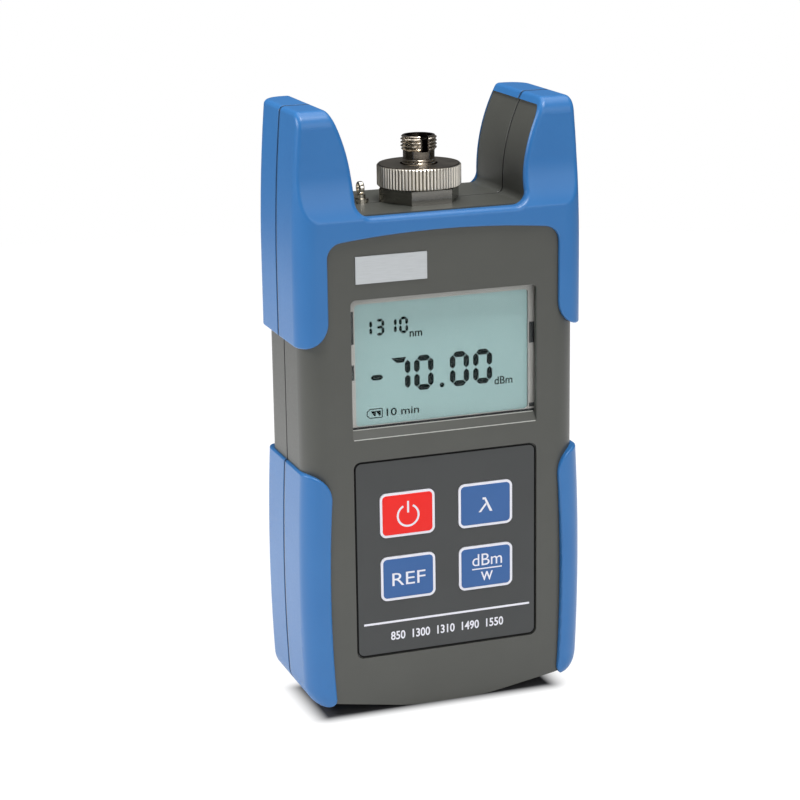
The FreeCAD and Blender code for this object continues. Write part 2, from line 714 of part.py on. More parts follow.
def rear_shell():
    """Back half of the case: seam lip, battery bay, door seat and its two grooves."""
    seam, back, inside = s.seam_gap / 2, s.case_half_depth, inner_face()
    half = s.case_half_width + s.skin_side
    solid = core().common(block((-half, half), (seam, back + 1), (-1, s.horn_top)))
    solid = solid.cut(hollow(0, inside))
    reach, root = s.seam_lip_reach, s.boss_root
    lip = cavity(s.seam_lip_gap, -reach, seam).cut(cavity(s.seam_lip, -reach - 1, seam + 1))
    land = cavity(-s.seam_gap, seam, seam + reach).cut(
        cavity(s.seam_lip, seam - 1, seam + reach + 1))
    wide, low, high, floor = s.bay_half_width, s.bay_low, s.bay_high, bay_front()
    wall, ledge = s.bay_wall, door_inside() - s.ledge_thickness
    tub = block((-wide - wall, wide + wall), (floor - wall, back - 1), (low - wall, high + wall))
    seat_x, seat_high = s.door_half_width + s.door_tongue + s.bay_wall, s.door_high + s.bay_wall
    seat = block((-seat_x, seat_x), (ledge, inside + root), (s.floor_height - root, seat_high))
    bosses = [post(x, z, s.case_boss, seam, inside + root) for x, z in screw_places()]
    solid = solid.fuse([lip, land, tub, seat] + bosses)
    gap, door = s.door_gap, s.door_half_width
    reach = door + s.door_tongue + gap
    cuts = [
        block((-wide, wide), (floor, back + 1), (low, high)),
        block((-door - gap, door + gap), (door_inside() - gap / 2, back + 1),
              (-1, s.door_high + gap)),
        block((-reach, reach), (door_inside() - gap / 2,
                                door_inside() + s.door_tongue_thickness + gap / 2),
              (-1, s.door_high + gap)),
        port_hole(),
        Part.makeCylinder(s.locknut_flats / sqrt(3) + s.head_gap, s.case_wall,
                          Vector(0, 0, s.deck_height - 2 * s.case_wall)),
        Part.makeCylinder(s.eye_post + s.pilot_gap, 3 * s.case_wall,
                          Vector(s.eye_x, s.eye_y, s.deck_height - 2 * s.case_wall)),
    ]
    for x, z in screw_places():
        deep = s.case_head_depth if z > s.door_high else s.door_thickness + s.case_head_height + gap
        cuts.append(post(x, z, s.case_screw_radius + s.head_gap, 0, back + 1))
        cuts.append(post(x, z, s.case_head + s.head_gap, back - deep, back + 1))
    return solid.cut(Part.makeCompound(cuts)).removeSplitter()


def battery_door():
    """Door flush with the back, with a tongue down each side and thumb grooves."""
    back, inside, half = s.case_half_depth, door_inside(), s.door_half_width
    solid = core().common(block((-half, half), (inside, back + 1), (-1, s.door_high)))
    tongue_y = (inside + s.door_gap / 2, inside + s.door_tongue_thickness)
    reach = half + s.door_tongue
    foot = foot_height(reach)
    solid = solid.fuse(block((-reach, reach), tongue_y, (foot, s.door_high)))
    grooves = []
    for row in range(int(s.thumb_rows)):
        low = s.door_high - s.thumb_drop + row * s.thumb_pitch
        grooves.append(block((-s.thumb_width / 2, s.thumb_width / 2),
                             (back - s.thumb_depth, back + 1), (low, low + s.thumb_pitch / 2)))
    return solid.cut(Part.makeCompound(grooves)).removeSplitter()


# ---------------------------------------------------------------- keypad
def keypad_film():
    front = -s.case_half_depth + s.pad_depth
    half = s.panel_half_width - s.film_gap
    sheet_outline = rounded_rectangle((-half, half), (s.pad_low + s.film_gap,
                                                      s.pad_high - s.film_gap), s.pad_corner)
    holes = [key_slab(x, z, s.key_gap, front - 1, front + 1) for x, z in key_places().values()]
    return slab(sheet_outline, front - s.film_thickness, front).cut(Part.makeCompound(holes))


def key_slab(x, z, grow, low, high):
    wide, tall = s.key_width / 2 + grow, s.key_height / 2 + grow
    return slab(rounded_rectangle((x - wide, x + wide), (z - tall, z + tall),
                                  s.key_corner + grow), low, high)


def key(x, z):
    """A key cap in its hole in the film, with the plunger that reaches to its switch."""
    floor = -s.case_half_depth + s.pad_depth
    tip = -(s.board_front + s.switch_body + s.switch_button_height + s.key_travel
            + s.plunger_space)
    cap = key_slab(x, z, 0, floor - s.film_thickness - s.key_proud, floor)
    return cap.fuse(post(x, z, s.plunger_radius, floor, tip)).removeSplitter()


def contact_strip(x, plate, end):
    """A bowed spring strip from a contact plate to the end of a cell."""
    reach, thick = s.contact_reach, s.contact_thickness
    step = thick if end > plate else -thick
    outline = [
        (x - reach, plate),
        ("arc", (x, end), (x + reach, plate)),
        ("line", (x + reach - 2 * thick, plate)),
        ("arc", (x, end - step), (x - reach + 2 * thick, plate)),
    ]
    middle_y = cell_middle()
    return slab(outline, middle_y - reach / 2, middle_y + reach / 2)


def cell_middle():
    return door_inside() - s.cell_gap - s.cell_radius


# ---------------------------------------------------------------- bodies from sketches
def on_plane(body, role):
    """One of the body's own origin planes or axes, found by its role."""
    return next(item for item in body.Origin.OriginFeatures if item.Role == role)


def sketched(body, name, role, corners):
    """A closed sketch of straight lines whose corners are held by expressions."""
    sketch = body.newObject("Sketcher::SketchObject", name)
    sketch.AttachmentSupport = [(on_plane(body, role), "")]
    sketch.MapMode = "FlatFace"
    count = len(corners)
    rough = [Vector(1 + number, 1 + number ** 2, 0) for number in range(count)]
    for number in range(count):
        sketch.addGeometry(Part.LineSegment(rough[number], rough[(number + 1) % count]))
    for number in range(count):
        joint = Sketcher.Constraint("Coincident", number, 2, (number + 1) % count, 1)
        sketch.addConstraint(joint)
    for number, (across, up) in enumerate(corners):
        for kind, text, rest in (("DistanceX", across, rough[number].x),
                                 ("DistanceY", up, rough[number].y)):
            place = sketch.addConstraint(Sketcher.Constraint(kind, -1, 1, number, 1, rest))
            sketch.setExpression(f"Constraints[{place}]", bound(text))
    return sketch


def turned(name, corners):
    """A body turned about Z from half of its section, given as radii and heights."""
    body = doc.addObject("PartDesign::Body", name)
    sketch = sketched(body, name + "_section", "XZ_Plane", corners)
    turn = body.newObject("PartDesign::Revolution", name + "_turned")
    turn.Profile = sketch
    turn.ReferenceAxis = (sketch, ["V_Axis"])
    doc.recompute()
    return body


def above_deck(text):
    return f"deck_height + {text}"


def union_nut():
    """The knurled nut that holds the adapter down on the port's neck."""
    low, high, hole = above_deck("nut_low"), above_deck("nut_top"), "barrel_radius + nut_hole_gap"
    body = turned("union_nut", [
        (hole, high),
        ("nut_radius - nut_bevel", high),
        ("nut_radius", f"{high} - nut_bevel"),
        ("nut_radius", f"{low} + nut_bevel"),
        ("nut_radius - nut_bevel", low),
        ("port_neck + thread_gap", low),
        ("port_neck + thread_gap", f"{high} - nut_lip"),
        (hole, f"{high} - nut_lip"),
    ])
    groove = sketched(body, "knurl_section", "XY_Plane", [
        ("nut_radius - knurl_depth", "0"),
        ("nut_radius + knurl_depth", "-2 * knurl_depth"),
        ("nut_radius + knurl_depth", "2 * knurl_depth"),
    ])
    cut = body.newObject("PartDesign::Pocket", "knurl_groove")
    cut.Profile = groove
    cut.Type = "ThroughAll"
    cut.Midplane = True
    around = body.newObject("PartDesign::PolarPattern", "knurl")
    around.Originals = [cut]
    around.Axis = (on_plane(body, "Z_Axis"), [""])
    around.Angle = 360
    bind(around, Occurrences="knurl_count")
    body.Tip = around
    return body


def fibre_adapter():
    """FC adapter: flange, two rings, threaded barrel and the sleeve for the ferrule."""
    seat, flange = above_deck("neck_top"), above_deck("flange_top")
    flange_edge, neck, ring = (f"{whole} - {inset}" for whole, inset in (
        ("port_neck", "flange_inset"), ("barrel_radius", "neck_inset"),
        ("barrel_radius", "ring_inset")))
    rings = []
    for number in range(2):
        low = f"{flange} + ring_rise + {number} * ring_pitch"
        high = f"{low} + ring_height"
        rings += [(neck, low), (ring, low), (ring, high), (neck, high)]
    low, high = above_deck("barrel_low"), above_deck("barrel_high")
    floor, sleeve_top = f"{high} - barrel_depth", f"{high} - sleeve_drop"
    bore, sleeve = "barrel_radius - barrel_wall", "ferrule_radius + sleeve_wall"
    body = turned("fibre_adapter_body", [
        ("ferrule_radius", seat), (flange_edge, seat), (flange_edge, flange), (neck, flange),
        *rings, (neck, low), ("barrel_radius - barrel_bevel", low),
        ("barrel_radius", f"{low} + barrel_bevel"), ("barrel_radius", f"{high} - barrel_bevel"),
        ("barrel_radius - barrel_bevel", high), (bore, high), (bore, floor),
        (sleeve, floor), (sleeve, sleeve_top), ("ferrule_radius", sleeve_top),
    ])
    slot = box("key_slot", "-key_slot / 2", "-2 * barrel_radius", f"{high} - key_slot_length",
               "key_slot", f"2 * barrel_radius - ({bore} + {sleeve}) / 2",
               "2 * key_slot_length")
    return take("fibre_adapter", body, slot)


def prism(name, z, flats, height):
    item = doc.addObject("Part::Prism", name)
    item.Polygon = 6
    return bind(item, z=z, Circumradius=f"{flats} / 2 / cos(30deg)", Height=height)


def port_base():
    """The fixed part of the fibre port: hexagon, neck for the nut, and stem through the deck."""
    foot = above_deck("-port_stem_length")
    outer = join("port_base_outer",
                 prism("port_hexagon", "deck_height", "hex_flats", "hex_height"),
                 rod("port_neck_rod", "0", "0", "deck_height", "port_neck", "neck_top"),
                 rod("port_stem_rod", "0", "0", foot, "port_stem",
                     "port_stem_length + hex_height / 2"))
    bore = rod("port_bore_cut", "0", "0", f"{foot} - 1", "port_bore",
               "port_stem_length + neck_top - port_shoulder + 1")
    window = rod("port_window_cut", "0", "0", "deck_height", "port_window", "neck_top + 1")
    return take("port_base", outer, bore, window)


def port_locknut():
    low = "deck_height - case_wall - locknut_height"
    nut = prism("locknut_hexagon", low, "locknut_flats", "locknut_height")
    hole = rod("locknut_hole", "0", "0", f"{low} - 1", "port_stem + pilot_gap",
               "locknut_height + 2")
    return take("port_locknut", nut, hole)


def detector():
    """The light sensor's can, with its flange and three leads."""
    can_low = above_deck("neck_top - port_shoulder - detector_height")
    flange_low = f"{can_low} - detector_flange_height"
    end = above_deck("-port_stem_length - sensor_board_thickness - lead_end")
    leads = []
    for number in range(3):
        turn = f"{120 * number}deg"
        leads.append(rod(f"detector_lead_{number + 1}", f"lead_circle * cos({turn})",
                         f"lead_circle * sin({turn})", end, "lead_radius",
                         f"{flange_low} - ({end})"))
    return join("detector", *leads,
                rod("detector_can", "0", "0", can_low, "detector_radius", "detector_height"),
                rod("detector_flange_disc", "0", "0", flange_low, "detector_flange",
                    "detector_flange_height"))


def sensor_board():
    """The small round board at the foot of the stem that the sensor's leads go through."""
    low = above_deck("-port_stem_length - sensor_board_thickness")
    holes = [rod(f"sensor_hole_{number + 1}", f"lead_circle * cos({120 * number}deg)",
                 f"lead_circle * sin({120 * number}deg)", f"{low} - 1", "lead_hole",
                 "sensor_board_thickness + 2") for number in range(3)]
    return take("sensor_board", rod("sensor_disc", "0", "0", low, "port_stem + sensor_board_lap",
                                    "sensor_board_thickness"), *holes)


def tether_eye():
    """A drilled eye on a neck and collar, with a post that goes down through the deck."""
    neck_top = s.deck_height + s.eye_collar_height + s.eye_neck_height
    start = Vector(s.eye_x - s.eye_width / 2, s.eye_y, neck_top + s.eye_ring - s.eye_sink)
    disc = Part.makeCylinder(s.eye_ring, s.eye_width, start, ACROSS)
    disc = disc.makeFillet(s.eye_round, edges_where(disc, lambda edge: not along(edge, ACROSS)))
    disc = disc.cut(Part.makeCylinder(s.eye_hole, s.eye_width, start, ACROSS))
    return join("tether_eye", modelled("eye_ring", disc),
                rod("eye_post_rod", "eye_x", "eye_y", above_deck("-eye_post_length"),
                    "eye_post", "eye_post_length + eye_collar_height"),
                rod("eye_collar_disc", "eye_x", "eye_y", "deck_height", "eye_collar",
                    "eye_collar_height"),
                rod("eye_neck_disc", "eye_x", "eye_y", above_deck("eye_collar_height"),
                    "eye_neck", "eye_neck_height"))


def screws(name, places, head_low, head, head_height, shank):
    """Like screws along Y, as one group: shanks reach towards the front of the case."""
    tip = "case_wall + screw_tip - case_half_depth"
    made = []
    for number, (x, z) in enumerate(places, start=1):
        low = head_low(z)
        made.append(join(f"{name}_{number}",
                         rod(f"{name}_{number}_head", x, low, z, head, head_height, "Y"),
                         rod(f"{name}_{number}_shank", x, tip, z, shank,
                             f"{low} - ({tip}) + {head_height} / 2", "Y")))
    return group(name, *made)


def case_screw_seat(z):
    """Where a head starts: deep at the top, just under the door at the foot."""
    if z == "case_screw_high":
        return "case_half_depth - case_head_depth"
    return "case_half_depth - door_thickness - door_gap - case_head_height"


# ---------------------------------------------------------------- sub-parts
def both(side_x, heights):
    return [(f"{sign}{side_x}", z) for sign in ("", "-") for z in heights]


subpart(modelled("front_shell", front_shell()), "front_shell")
subpart(modelled("rear_shell", rear_shell()), "rear_shell")

subpart(modelled("upper_guard_front", upper_guard(True)), "upper_guard_front")
subpart(modelled("upper_guard_rear", mirrored(upper_guard(False), BACK)), "upper_guard_rear")
right_grip = grip()
for face, shape in (("front", right_grip), ("rear", mirrored(right_grip, BACK))):
    subpart(modelled(f"grip_{face}_right", shape), f"grip_{face}_right")
    subpart(modelled(f"grip_{face}_left", mirrored(shape, ACROSS)), f"grip_{face}_left")

screw_list = (both("case_screw_x", ["case_screw_high"]) + both("case_screw_low_x",
                                                               ["case_screw_low"]))
subpart(screws("case_screws", screw_list, case_screw_seat, "case_head", "case_head_height",
               "case_screw_radius"), "case_screws")

# display, from the lens inwards
LENS_FRONT = "window_depth - case_half_depth"
LENS_BACK = f"{LENS_FRONT} + lens_thickness"
LENS_HALF = "(panel_half_width + lens_lap - lens_gap)"
LENS_LOW = "(window_low + ledge_rise - lens_lap + lens_gap)"
LENS_HIGH = "(window_high + lens_lap - lens_gap)"
LENS_TALL = f"{LENS_HIGH} - {LENS_LOW}"
subpart(box("display_window", f"-{LENS_HALF}", LENS_FRONT, LENS_LOW,
            f"2 * {LENS_HALF}", "lens_thickness", LENS_TALL), "display_window")

frame_depth = f"-board_front - ({LENS_BACK})"
pocket_half = f"({LENS_HALF} - frame_wall)"
frame_block = box("lcd_frame_block", f"-{LENS_HALF}", LENS_BACK, LENS_LOW,
                  f"2 * {LENS_HALF}", frame_depth, LENS_TALL)
frame_sight = box("lcd_frame_sight", "sight_left_inset - panel_half_width",
                  f"{LENS_BACK} - 1", "window_low + sight_rise",
                  "2 * panel_half_width - sight_left_inset - sight_right_inset",
                  "frame_lip + 2", "window_height - sight_rise - sight_drop")
frame_pocket = box("lcd_frame_pocket", f"-{pocket_half}", f"{LENS_BACK} + frame_lip",
                   f"{LENS_LOW} + frame_wall", f"2 * {pocket_half}", frame_depth,
                   f"{LENS_TALL} - 2 * frame_wall")
subpart(take("lcd_frame", frame_block, frame_sight, frame_pocket), "lcd_frame")

for label, front, thickness in (
        ("lcd_glass", f"{LENS_BACK} + frame_lip", "glass_thickness"),
        ("backlight", f"{LENS_BACK} + frame_lip + glass_thickness", "light_thickness")):
    subpart(box(label, f"glass_gap - {pocket_half}", front,
                f"{LENS_LOW} + frame_wall + glass_gap", f"2 * ({pocket_half} - glass_gap)",
                thickness, f"{LENS_TALL} - 2 * (frame_wall + glass_gap)"), label)

subpart(box("name_plate", "plate_gap - plate_left",
            "plate_depth - plate_thickness - case_half_depth", "plate_low + plate_gap",
            "plate_left - plate_right - 2 * plate_gap", "plate_thickness",
            "plate_high - plate_low - 2 * plate_gap"), "name_plate")

# keypad
subpart(modelled("keypad_film", keypad_film()), "keypad_film")
for label, (x, z) in key_places().items():
    subpart(modelled(label, key(x, z)), label)

# circuit board and what is soldered to it
board_screw_list = both("board_screw_x", ["board_screw_low", "board_screw_high"])
board = box("board_blank", "-board_half_width", "-board_front", "board_low",
            "2 * board_half_width", "board_thickness", "board_high - board_low")
board_holes = [rod(f"board_hole_{number}", x, "-board_front - 1", z, "screw_radius + head_gap",
                   "board_thickness + 2", "Y")
               for number, (x, z) in enumerate(board_screw_list, start=1)]
subpart(take("main_board", board, *board_holes), "main_board")

BOARD_BACK = "board_thickness - board_front"
subpart(screws("board_screws", board_screw_list, lambda z: BOARD_BACK, "screw_head",
               "screw_head_height", "screw_radius"), "board_screws")

for name, x, z in (("power", "-key_x", "key_row_high"), ("wavelength", "key_x", "key_row_high"),
                   ("reference", "-key_x", "key_row_low"), ("unit", "key_x", "key_row_low")):
    case = box(f"switch_{name}_case", f"{x} - switch_size / 2", "-board_front - switch_body",
               f"{z} - switch_size / 2", "switch_size", "switch_body", "switch_size")
    button = rod(f"switch_{name}_button", x,
                 "-board_front - switch_body - switch_button_height", z, "switch_button",
                 "switch_button_height + switch_body / 2", "Y")
    subpart(join(f"switch_{name}", case, button), f"switch_{name}")

chips = [box(f"{name}_chip", f"{name}_x - {wide} / 2", BOARD_BACK,
             f"board_high - {name}_drop - {tall} / 2", wide, "chip_height", tall)
         for name, wide, tall in (("processor", "processor", "processor"),
                                  ("amplifier", "amplifier", "amplifier"),
                                  ("crystal", "crystal_length", "crystal_width"))]
subpart(group("board_components", *chips), "board_components")

# battery bay
subpart(modelled("battery_door", battery_door()), "battery_door")
CELL_Y = "case_half_depth - door_thickness - cell_gap - cell_radius"
for label, place, flipped in (("cell_left", -1, False), ("cell_middle", 0, True),
                              ("cell_right", 1, False)):
    x = f"{place} * (2 * cell_radius + cell_gap)"
    low = "cell_foot + cell_nub" if flipped else "cell_foot"
    nub_low = "cell_foot" if flipped else "cell_foot + cell_length"
    can = rod(f"{label}_can", x, CELL_Y, low, "cell_radius", "cell_length")
    nub = rod(f"{label}_nub", x, CELL_Y, nub_low, "cell_nub_radius", "cell_nub")
    subpart(join(label, can, nub), label)


def contacts(name, plate_low, plate_high, cell_end, buttons):
    """Plates at one end of the bay: a stud for each cell's nub and a strip for its flat end."""
    pieces = []
    pitch, depth = 2 * s.cell_radius + s.cell_gap, s.contact_width / 2
    for place in (-1, 0, 1):
        x, y = place * pitch, cell_middle()
        plate = block((x - s.contact_reach, x + s.contact_reach), (y - depth, y + depth),
                      (plate_low, plate_high))
        near = plate_high if cell_end > plate_high else plate_low
        if place in buttons:
            low, high = sorted((near, cell_end))
            stud = Part.makeCylinder(s.contact_button, high - low, Vector(x, y, low))
        else:
            stud = contact_strip(x, near, cell_end)
        pieces.append(plate.fuse(stud).removeSplitter())
    return modelled(name, Part.makeCompound(pieces))


subpart(contacts("contacts_bottom", s.bay_low, s.bay_low + s.contact_thickness, s.cell_foot,
                 (0,)), "contacts_bottom")
subpart(contacts("contacts_top", s.bay_high - s.contact_thickness, s.bay_high,
                 s.bay_high - s.bay_end, (-1, 1)), "contacts_top")

# fibre port
subpart(port_base(), "port_base")
subpart(port_locknut(), "port_locknut")
subpart(detector(), "detector")
subpart(sensor_board(), "sensor_board")
subpart(box("sensor_header", "-header_half_width", BOARD_BACK, "board_high - header_overlap",
            "2 * header_half_width", "header_depth",
            "deck_height - port_stem_length - sensor_board_thickness - board_high"
        " + header_overlap"),
        "sensor_header")
subpart(fibre_adapter(), "fibre_adapter")
subpart(union_nut(), "union_nut")
subpart(tether_eye(), "tether_eye")
clip_low = "deck_height - case_wall - seam_lip - eye_clip_thickness"
subpart(take("eye_clip", rod("eye_clip_disc", "eye_x", "eye_y", clip_low, "eye_clip",
                             "eye_clip_thickness"),
             rod("eye_clip_hole", "eye_x", "eye_y", f"{clip_low} - 1", "eye_post",
                 "eye_clip_thickness + 2")), "eye_clip")

# ---------------------------------------------------------------- checks and export
doc.recompute()
for item in doc.Objects:
    if "Invalid" in item.State or "Error" in item.State:
        raise RuntimeError(f"{item.Name} did not recompute: {item.State}")
for item in SUBPARTS:
    if item.Shape.isNull() or not item.Shape.isValid() or not item.Shape.Solids:
        raise RuntimeError(f"{item.Label} has no valid solid")

os.makedirs("parts", exist_ok=True)
for item in SUBPARTS:
    item.Shape.exportStep(f"parts/{item.Label}.step")
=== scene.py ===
import bmesh
import bpy
from math import atan2, cos, pi, radians, sin
from mathutils import Matrix, Vector


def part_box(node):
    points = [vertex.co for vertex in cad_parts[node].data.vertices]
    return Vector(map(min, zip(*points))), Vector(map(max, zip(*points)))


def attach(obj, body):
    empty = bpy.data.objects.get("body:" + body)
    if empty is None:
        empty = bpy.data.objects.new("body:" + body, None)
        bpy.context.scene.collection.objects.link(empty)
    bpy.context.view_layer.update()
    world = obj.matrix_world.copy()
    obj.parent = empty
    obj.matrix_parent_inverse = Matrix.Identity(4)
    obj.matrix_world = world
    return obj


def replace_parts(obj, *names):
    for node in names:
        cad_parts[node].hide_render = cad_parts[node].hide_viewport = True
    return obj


# A handheld optical power meter: hard grey case in two halves, soft blue overmould, display,
# four keys, and a fibre port between two horns.  Lengths are written in millimetres and turned
# into metres where they are used; the studio's are in metres.  -Y is the front and +Z is up.

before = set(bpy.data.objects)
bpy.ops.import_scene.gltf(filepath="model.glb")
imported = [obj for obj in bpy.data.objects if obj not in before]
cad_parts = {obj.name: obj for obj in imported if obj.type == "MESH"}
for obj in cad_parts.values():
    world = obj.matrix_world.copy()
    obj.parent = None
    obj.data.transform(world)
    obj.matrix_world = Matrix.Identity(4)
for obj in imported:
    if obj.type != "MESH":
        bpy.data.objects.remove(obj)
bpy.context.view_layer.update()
MM = 0.001


# ---- hard case
# Two shells of injection-moulded ABS, screwed together through the back.  The mould was spark
# eroded, so the grey has an even grain, a soft sheen and hardly any shift of colour.  The grain
# is drawn 0.35 mm wide, coarser than the real one, so that it shows.
def linear(code):
    """The linear colour that a shader takes for an sRGB hex code."""
    parts = [int(code[place:place + 2], 16) / 255 for place in (1, 3, 5)]
    return [part / 12.92 if part <= 0.04045 else ((part + 0.055) / 1.055) ** 2.4
            for part in parts] + [1.0]


def node(tree, kind, inputs=None, **settings):
    """Add a shader node; an input takes a number, a colour or the output that feeds it."""
    made = tree.nodes.new("ShaderNode" + kind)
    for name, value in settings.items():
        setattr(made, name, value)
    for name, value in (inputs or {}).items():
        if isinstance(value, bpy.types.NodeSocket):
            tree.links.new(value, made.inputs[name])
        else:
            made.inputs[name].default_value = value
    return made


def blank(name):
    """An empty material and its tree."""
    made = bpy.data.materials.new(name)
    made.use_nodes = True
    made.node_tree.nodes.clear()
    return made, made.node_tree


def moulded(name, dark, light, roughness, grain, relief, cloud=9.0, seam=0.0, **sockets):
    """A moulded plastic or elastomer: cloudy colour, and grain of a size and relief in mm.

    A seam radius rounds the edges where the front and rear halves meet, at y = 0, and darkens
    them there with painted shade.
    """
    rough_spread, joint, joint_shade = 0.06, 0.1, 0.35
    made, tree = blank(name)
    place = node(tree, "TexCoord").outputs["Object"]
    clouds = node(tree, "TexNoise", {"Vector": place, "Scale": 1 / (cloud * MM), "Detail": 3.0})
    colour = node(tree, "Mix", {0: clouds.outputs["Fac"], 6: linear(dark), 7: linear(light)},
                  data_type="RGBA").outputs[2]
    pits = node(tree, "TexNoise", {"Vector": place, "Scale": 1 / (grain * MM), "Detail": 2.0})
    rough = node(tree, "MapRange", {
        "Value": pits.outputs["Fac"], "To Min": roughness - rough_spread,
        "To Max": roughness + rough_spread})
    bump = node(tree, "Bump", {"Height": pits.outputs["Fac"], "Distance": relief * MM})
    if seam:
        depth = node(tree, "SeparateXYZ", {"Vector": place}).outputs["Y"]
        off = node(tree, "Math", {0: depth}, operation="ABSOLUTE").outputs["Value"]
        edge = node(tree, "MapRange", {
            "Value": off, "From Min": joint * MM, "From Max": seam * MM},
            interpolation_type="SMOOTHSTEP").outputs["Result"]
        bump = node(tree, "Bump", {"Height": edge, "Distance": seam / 2 * MM,
                                   "Normal": bump.outputs["Normal"]})
        # The seam's darkening is painted shade in the joint.
        shade = node(tree, "MapRange", {"Value": edge, "To Min": joint_shade, "To Max": 1.0})
        colour = node(tree, "Mix", {0: shade.outputs["Result"], 6: linear("#101214"), 7: colour},
                      data_type="RGBA").outputs[2]
    skin = node(tree, "BsdfPrincipled", {
        "Base Color": colour, "Roughness": rough.outputs["Result"],
        "Normal": bump.outputs["Normal"], **sockets})
    node(tree, "OutputMaterial", {"Surface": skin.outputs["BSDF"]})
    return made


def dress(material, *names):
    """Give CAD nodes a material."""
    for name in names:
        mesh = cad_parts[name].data
        mesh.materials.clear()
        mesh.materials.append(material)


# Its edges at the joint between the halves carry painted shade.
case_abs = moulded("spark_eroded_abs", "#454641", "#4c4d48", 0.42, grain=0.35, relief=0.012,
                   seam=0.5, IOR=1.54)
dress(case_abs, "front_shell", "rear_shell")


def oblong(left, right, low, high):
    """Outline of an upright rectangle, in mm across and up."""
    return [(left, low), (right, low), (right, high), (left, high)]


def sheet_of(outlines, front, thick):
    """Closed solids from flat outlines in mm across and up.

    They start at a front in metres along Y, as the frame gives it, and are some mm thick.
    """
    made = bmesh.new()
    for outline in outlines:
        face = made.faces.new([made.verts.new((x * MM, front, z * MM)) for x, z in outline])
        grown = bmesh.ops.extrude_face_region(made, geom=[face])
        moved = [item for item in grown["geom"] if isinstance(item, bmesh.types.BMVert)]
        bmesh.ops.translate(made, verts=moved, vec=(0, thick * MM, 0))
    return made


def solid(name, shape, body, material, smooth=None):
    """Turn a finished bmesh into a piece that rides on a body."""
    bmesh.ops.recalc_face_normals(shape, faces=shape.faces)
    mesh = bpy.data.meshes.new(name)
    shape.to_mesh(mesh)
    shape.free()
    mesh.materials.append(material)
    if smooth is not None:
        for face in mesh.polygons:
            face.use_smooth = True
        mesh.set_sharp_from_angle(angle=radians(smooth))
    made = bpy.data.objects.new(name, mesh)
    bpy.context.collection.objects.link(made)
    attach(made, body)
    return made


# A dark sheet stands in the joint between the halves in each horn: painted shade where the gap
# shows.
seam_shade_paint = moulded("painted_seam_shade", "#111213", "#18191a", 0.7, grain=0.3, relief=0.01)
seam_shade_inner, seam_shade_outer, seam_shade_low, seam_shade_high, seam_shade_thick = 28.0, 30.0, 112.0, 134.2, 0.3
for side, name in ((-1, "seam_shade_left"), (1, "seam_shade_right")):
    left, right = sorted((side * seam_shade_inner, side * seam_shade_outer))
    solid(name, sheet_of([oblong(left, right, seam_shade_low, seam_shade_high)], -seam_shade_thick / 2 * MM,
                         seam_shade_thick), "case", seam_shade_paint)


# ---- soft overmould
# Thermoplastic elastomer shot over the shells' corners, one guard and two grips on each half.
# Its mould is smoother than the case's, so it is satin, with a sharper sheen than the grey.
# Its edges at the joint between the halves carry painted shade too.
overmould = moulded("blue_elastomer", "#2d6dac", "#3475b3", 0.35, grain=0.5, relief=0.007,
                    cloud=14.0, seam=0.8, IOR=1.46)
dress(overmould, "upper_guard_front", "upper_guard_rear", "grip_front_left",
      "grip_front_right", "grip_rear_left", "grip_rear_right")


# ---- circuit board
# A glass-epoxy board under a glossy green solder mask, with four tactile switches for the keys,
# dull black moulded chips, and the header that joins the small round sensor board at the port.
board_mask = moulded("green_solder_mask", "#10502c", "#18643a", 0.35, grain=0.6, relief=0.01,
                     IOR=1.55)
black_epoxy = moulded("moulded_black_epoxy", "#141416", "#1d1d20", 0.5, grain=0.3, relief=0.01)
dress(board_mask, "main_board", "sensor_board")
dress(black_epoxy, "board_components", "sensor_header", "switch_power", "switch_wavelength",
      "switch_reference", "switch_unit")


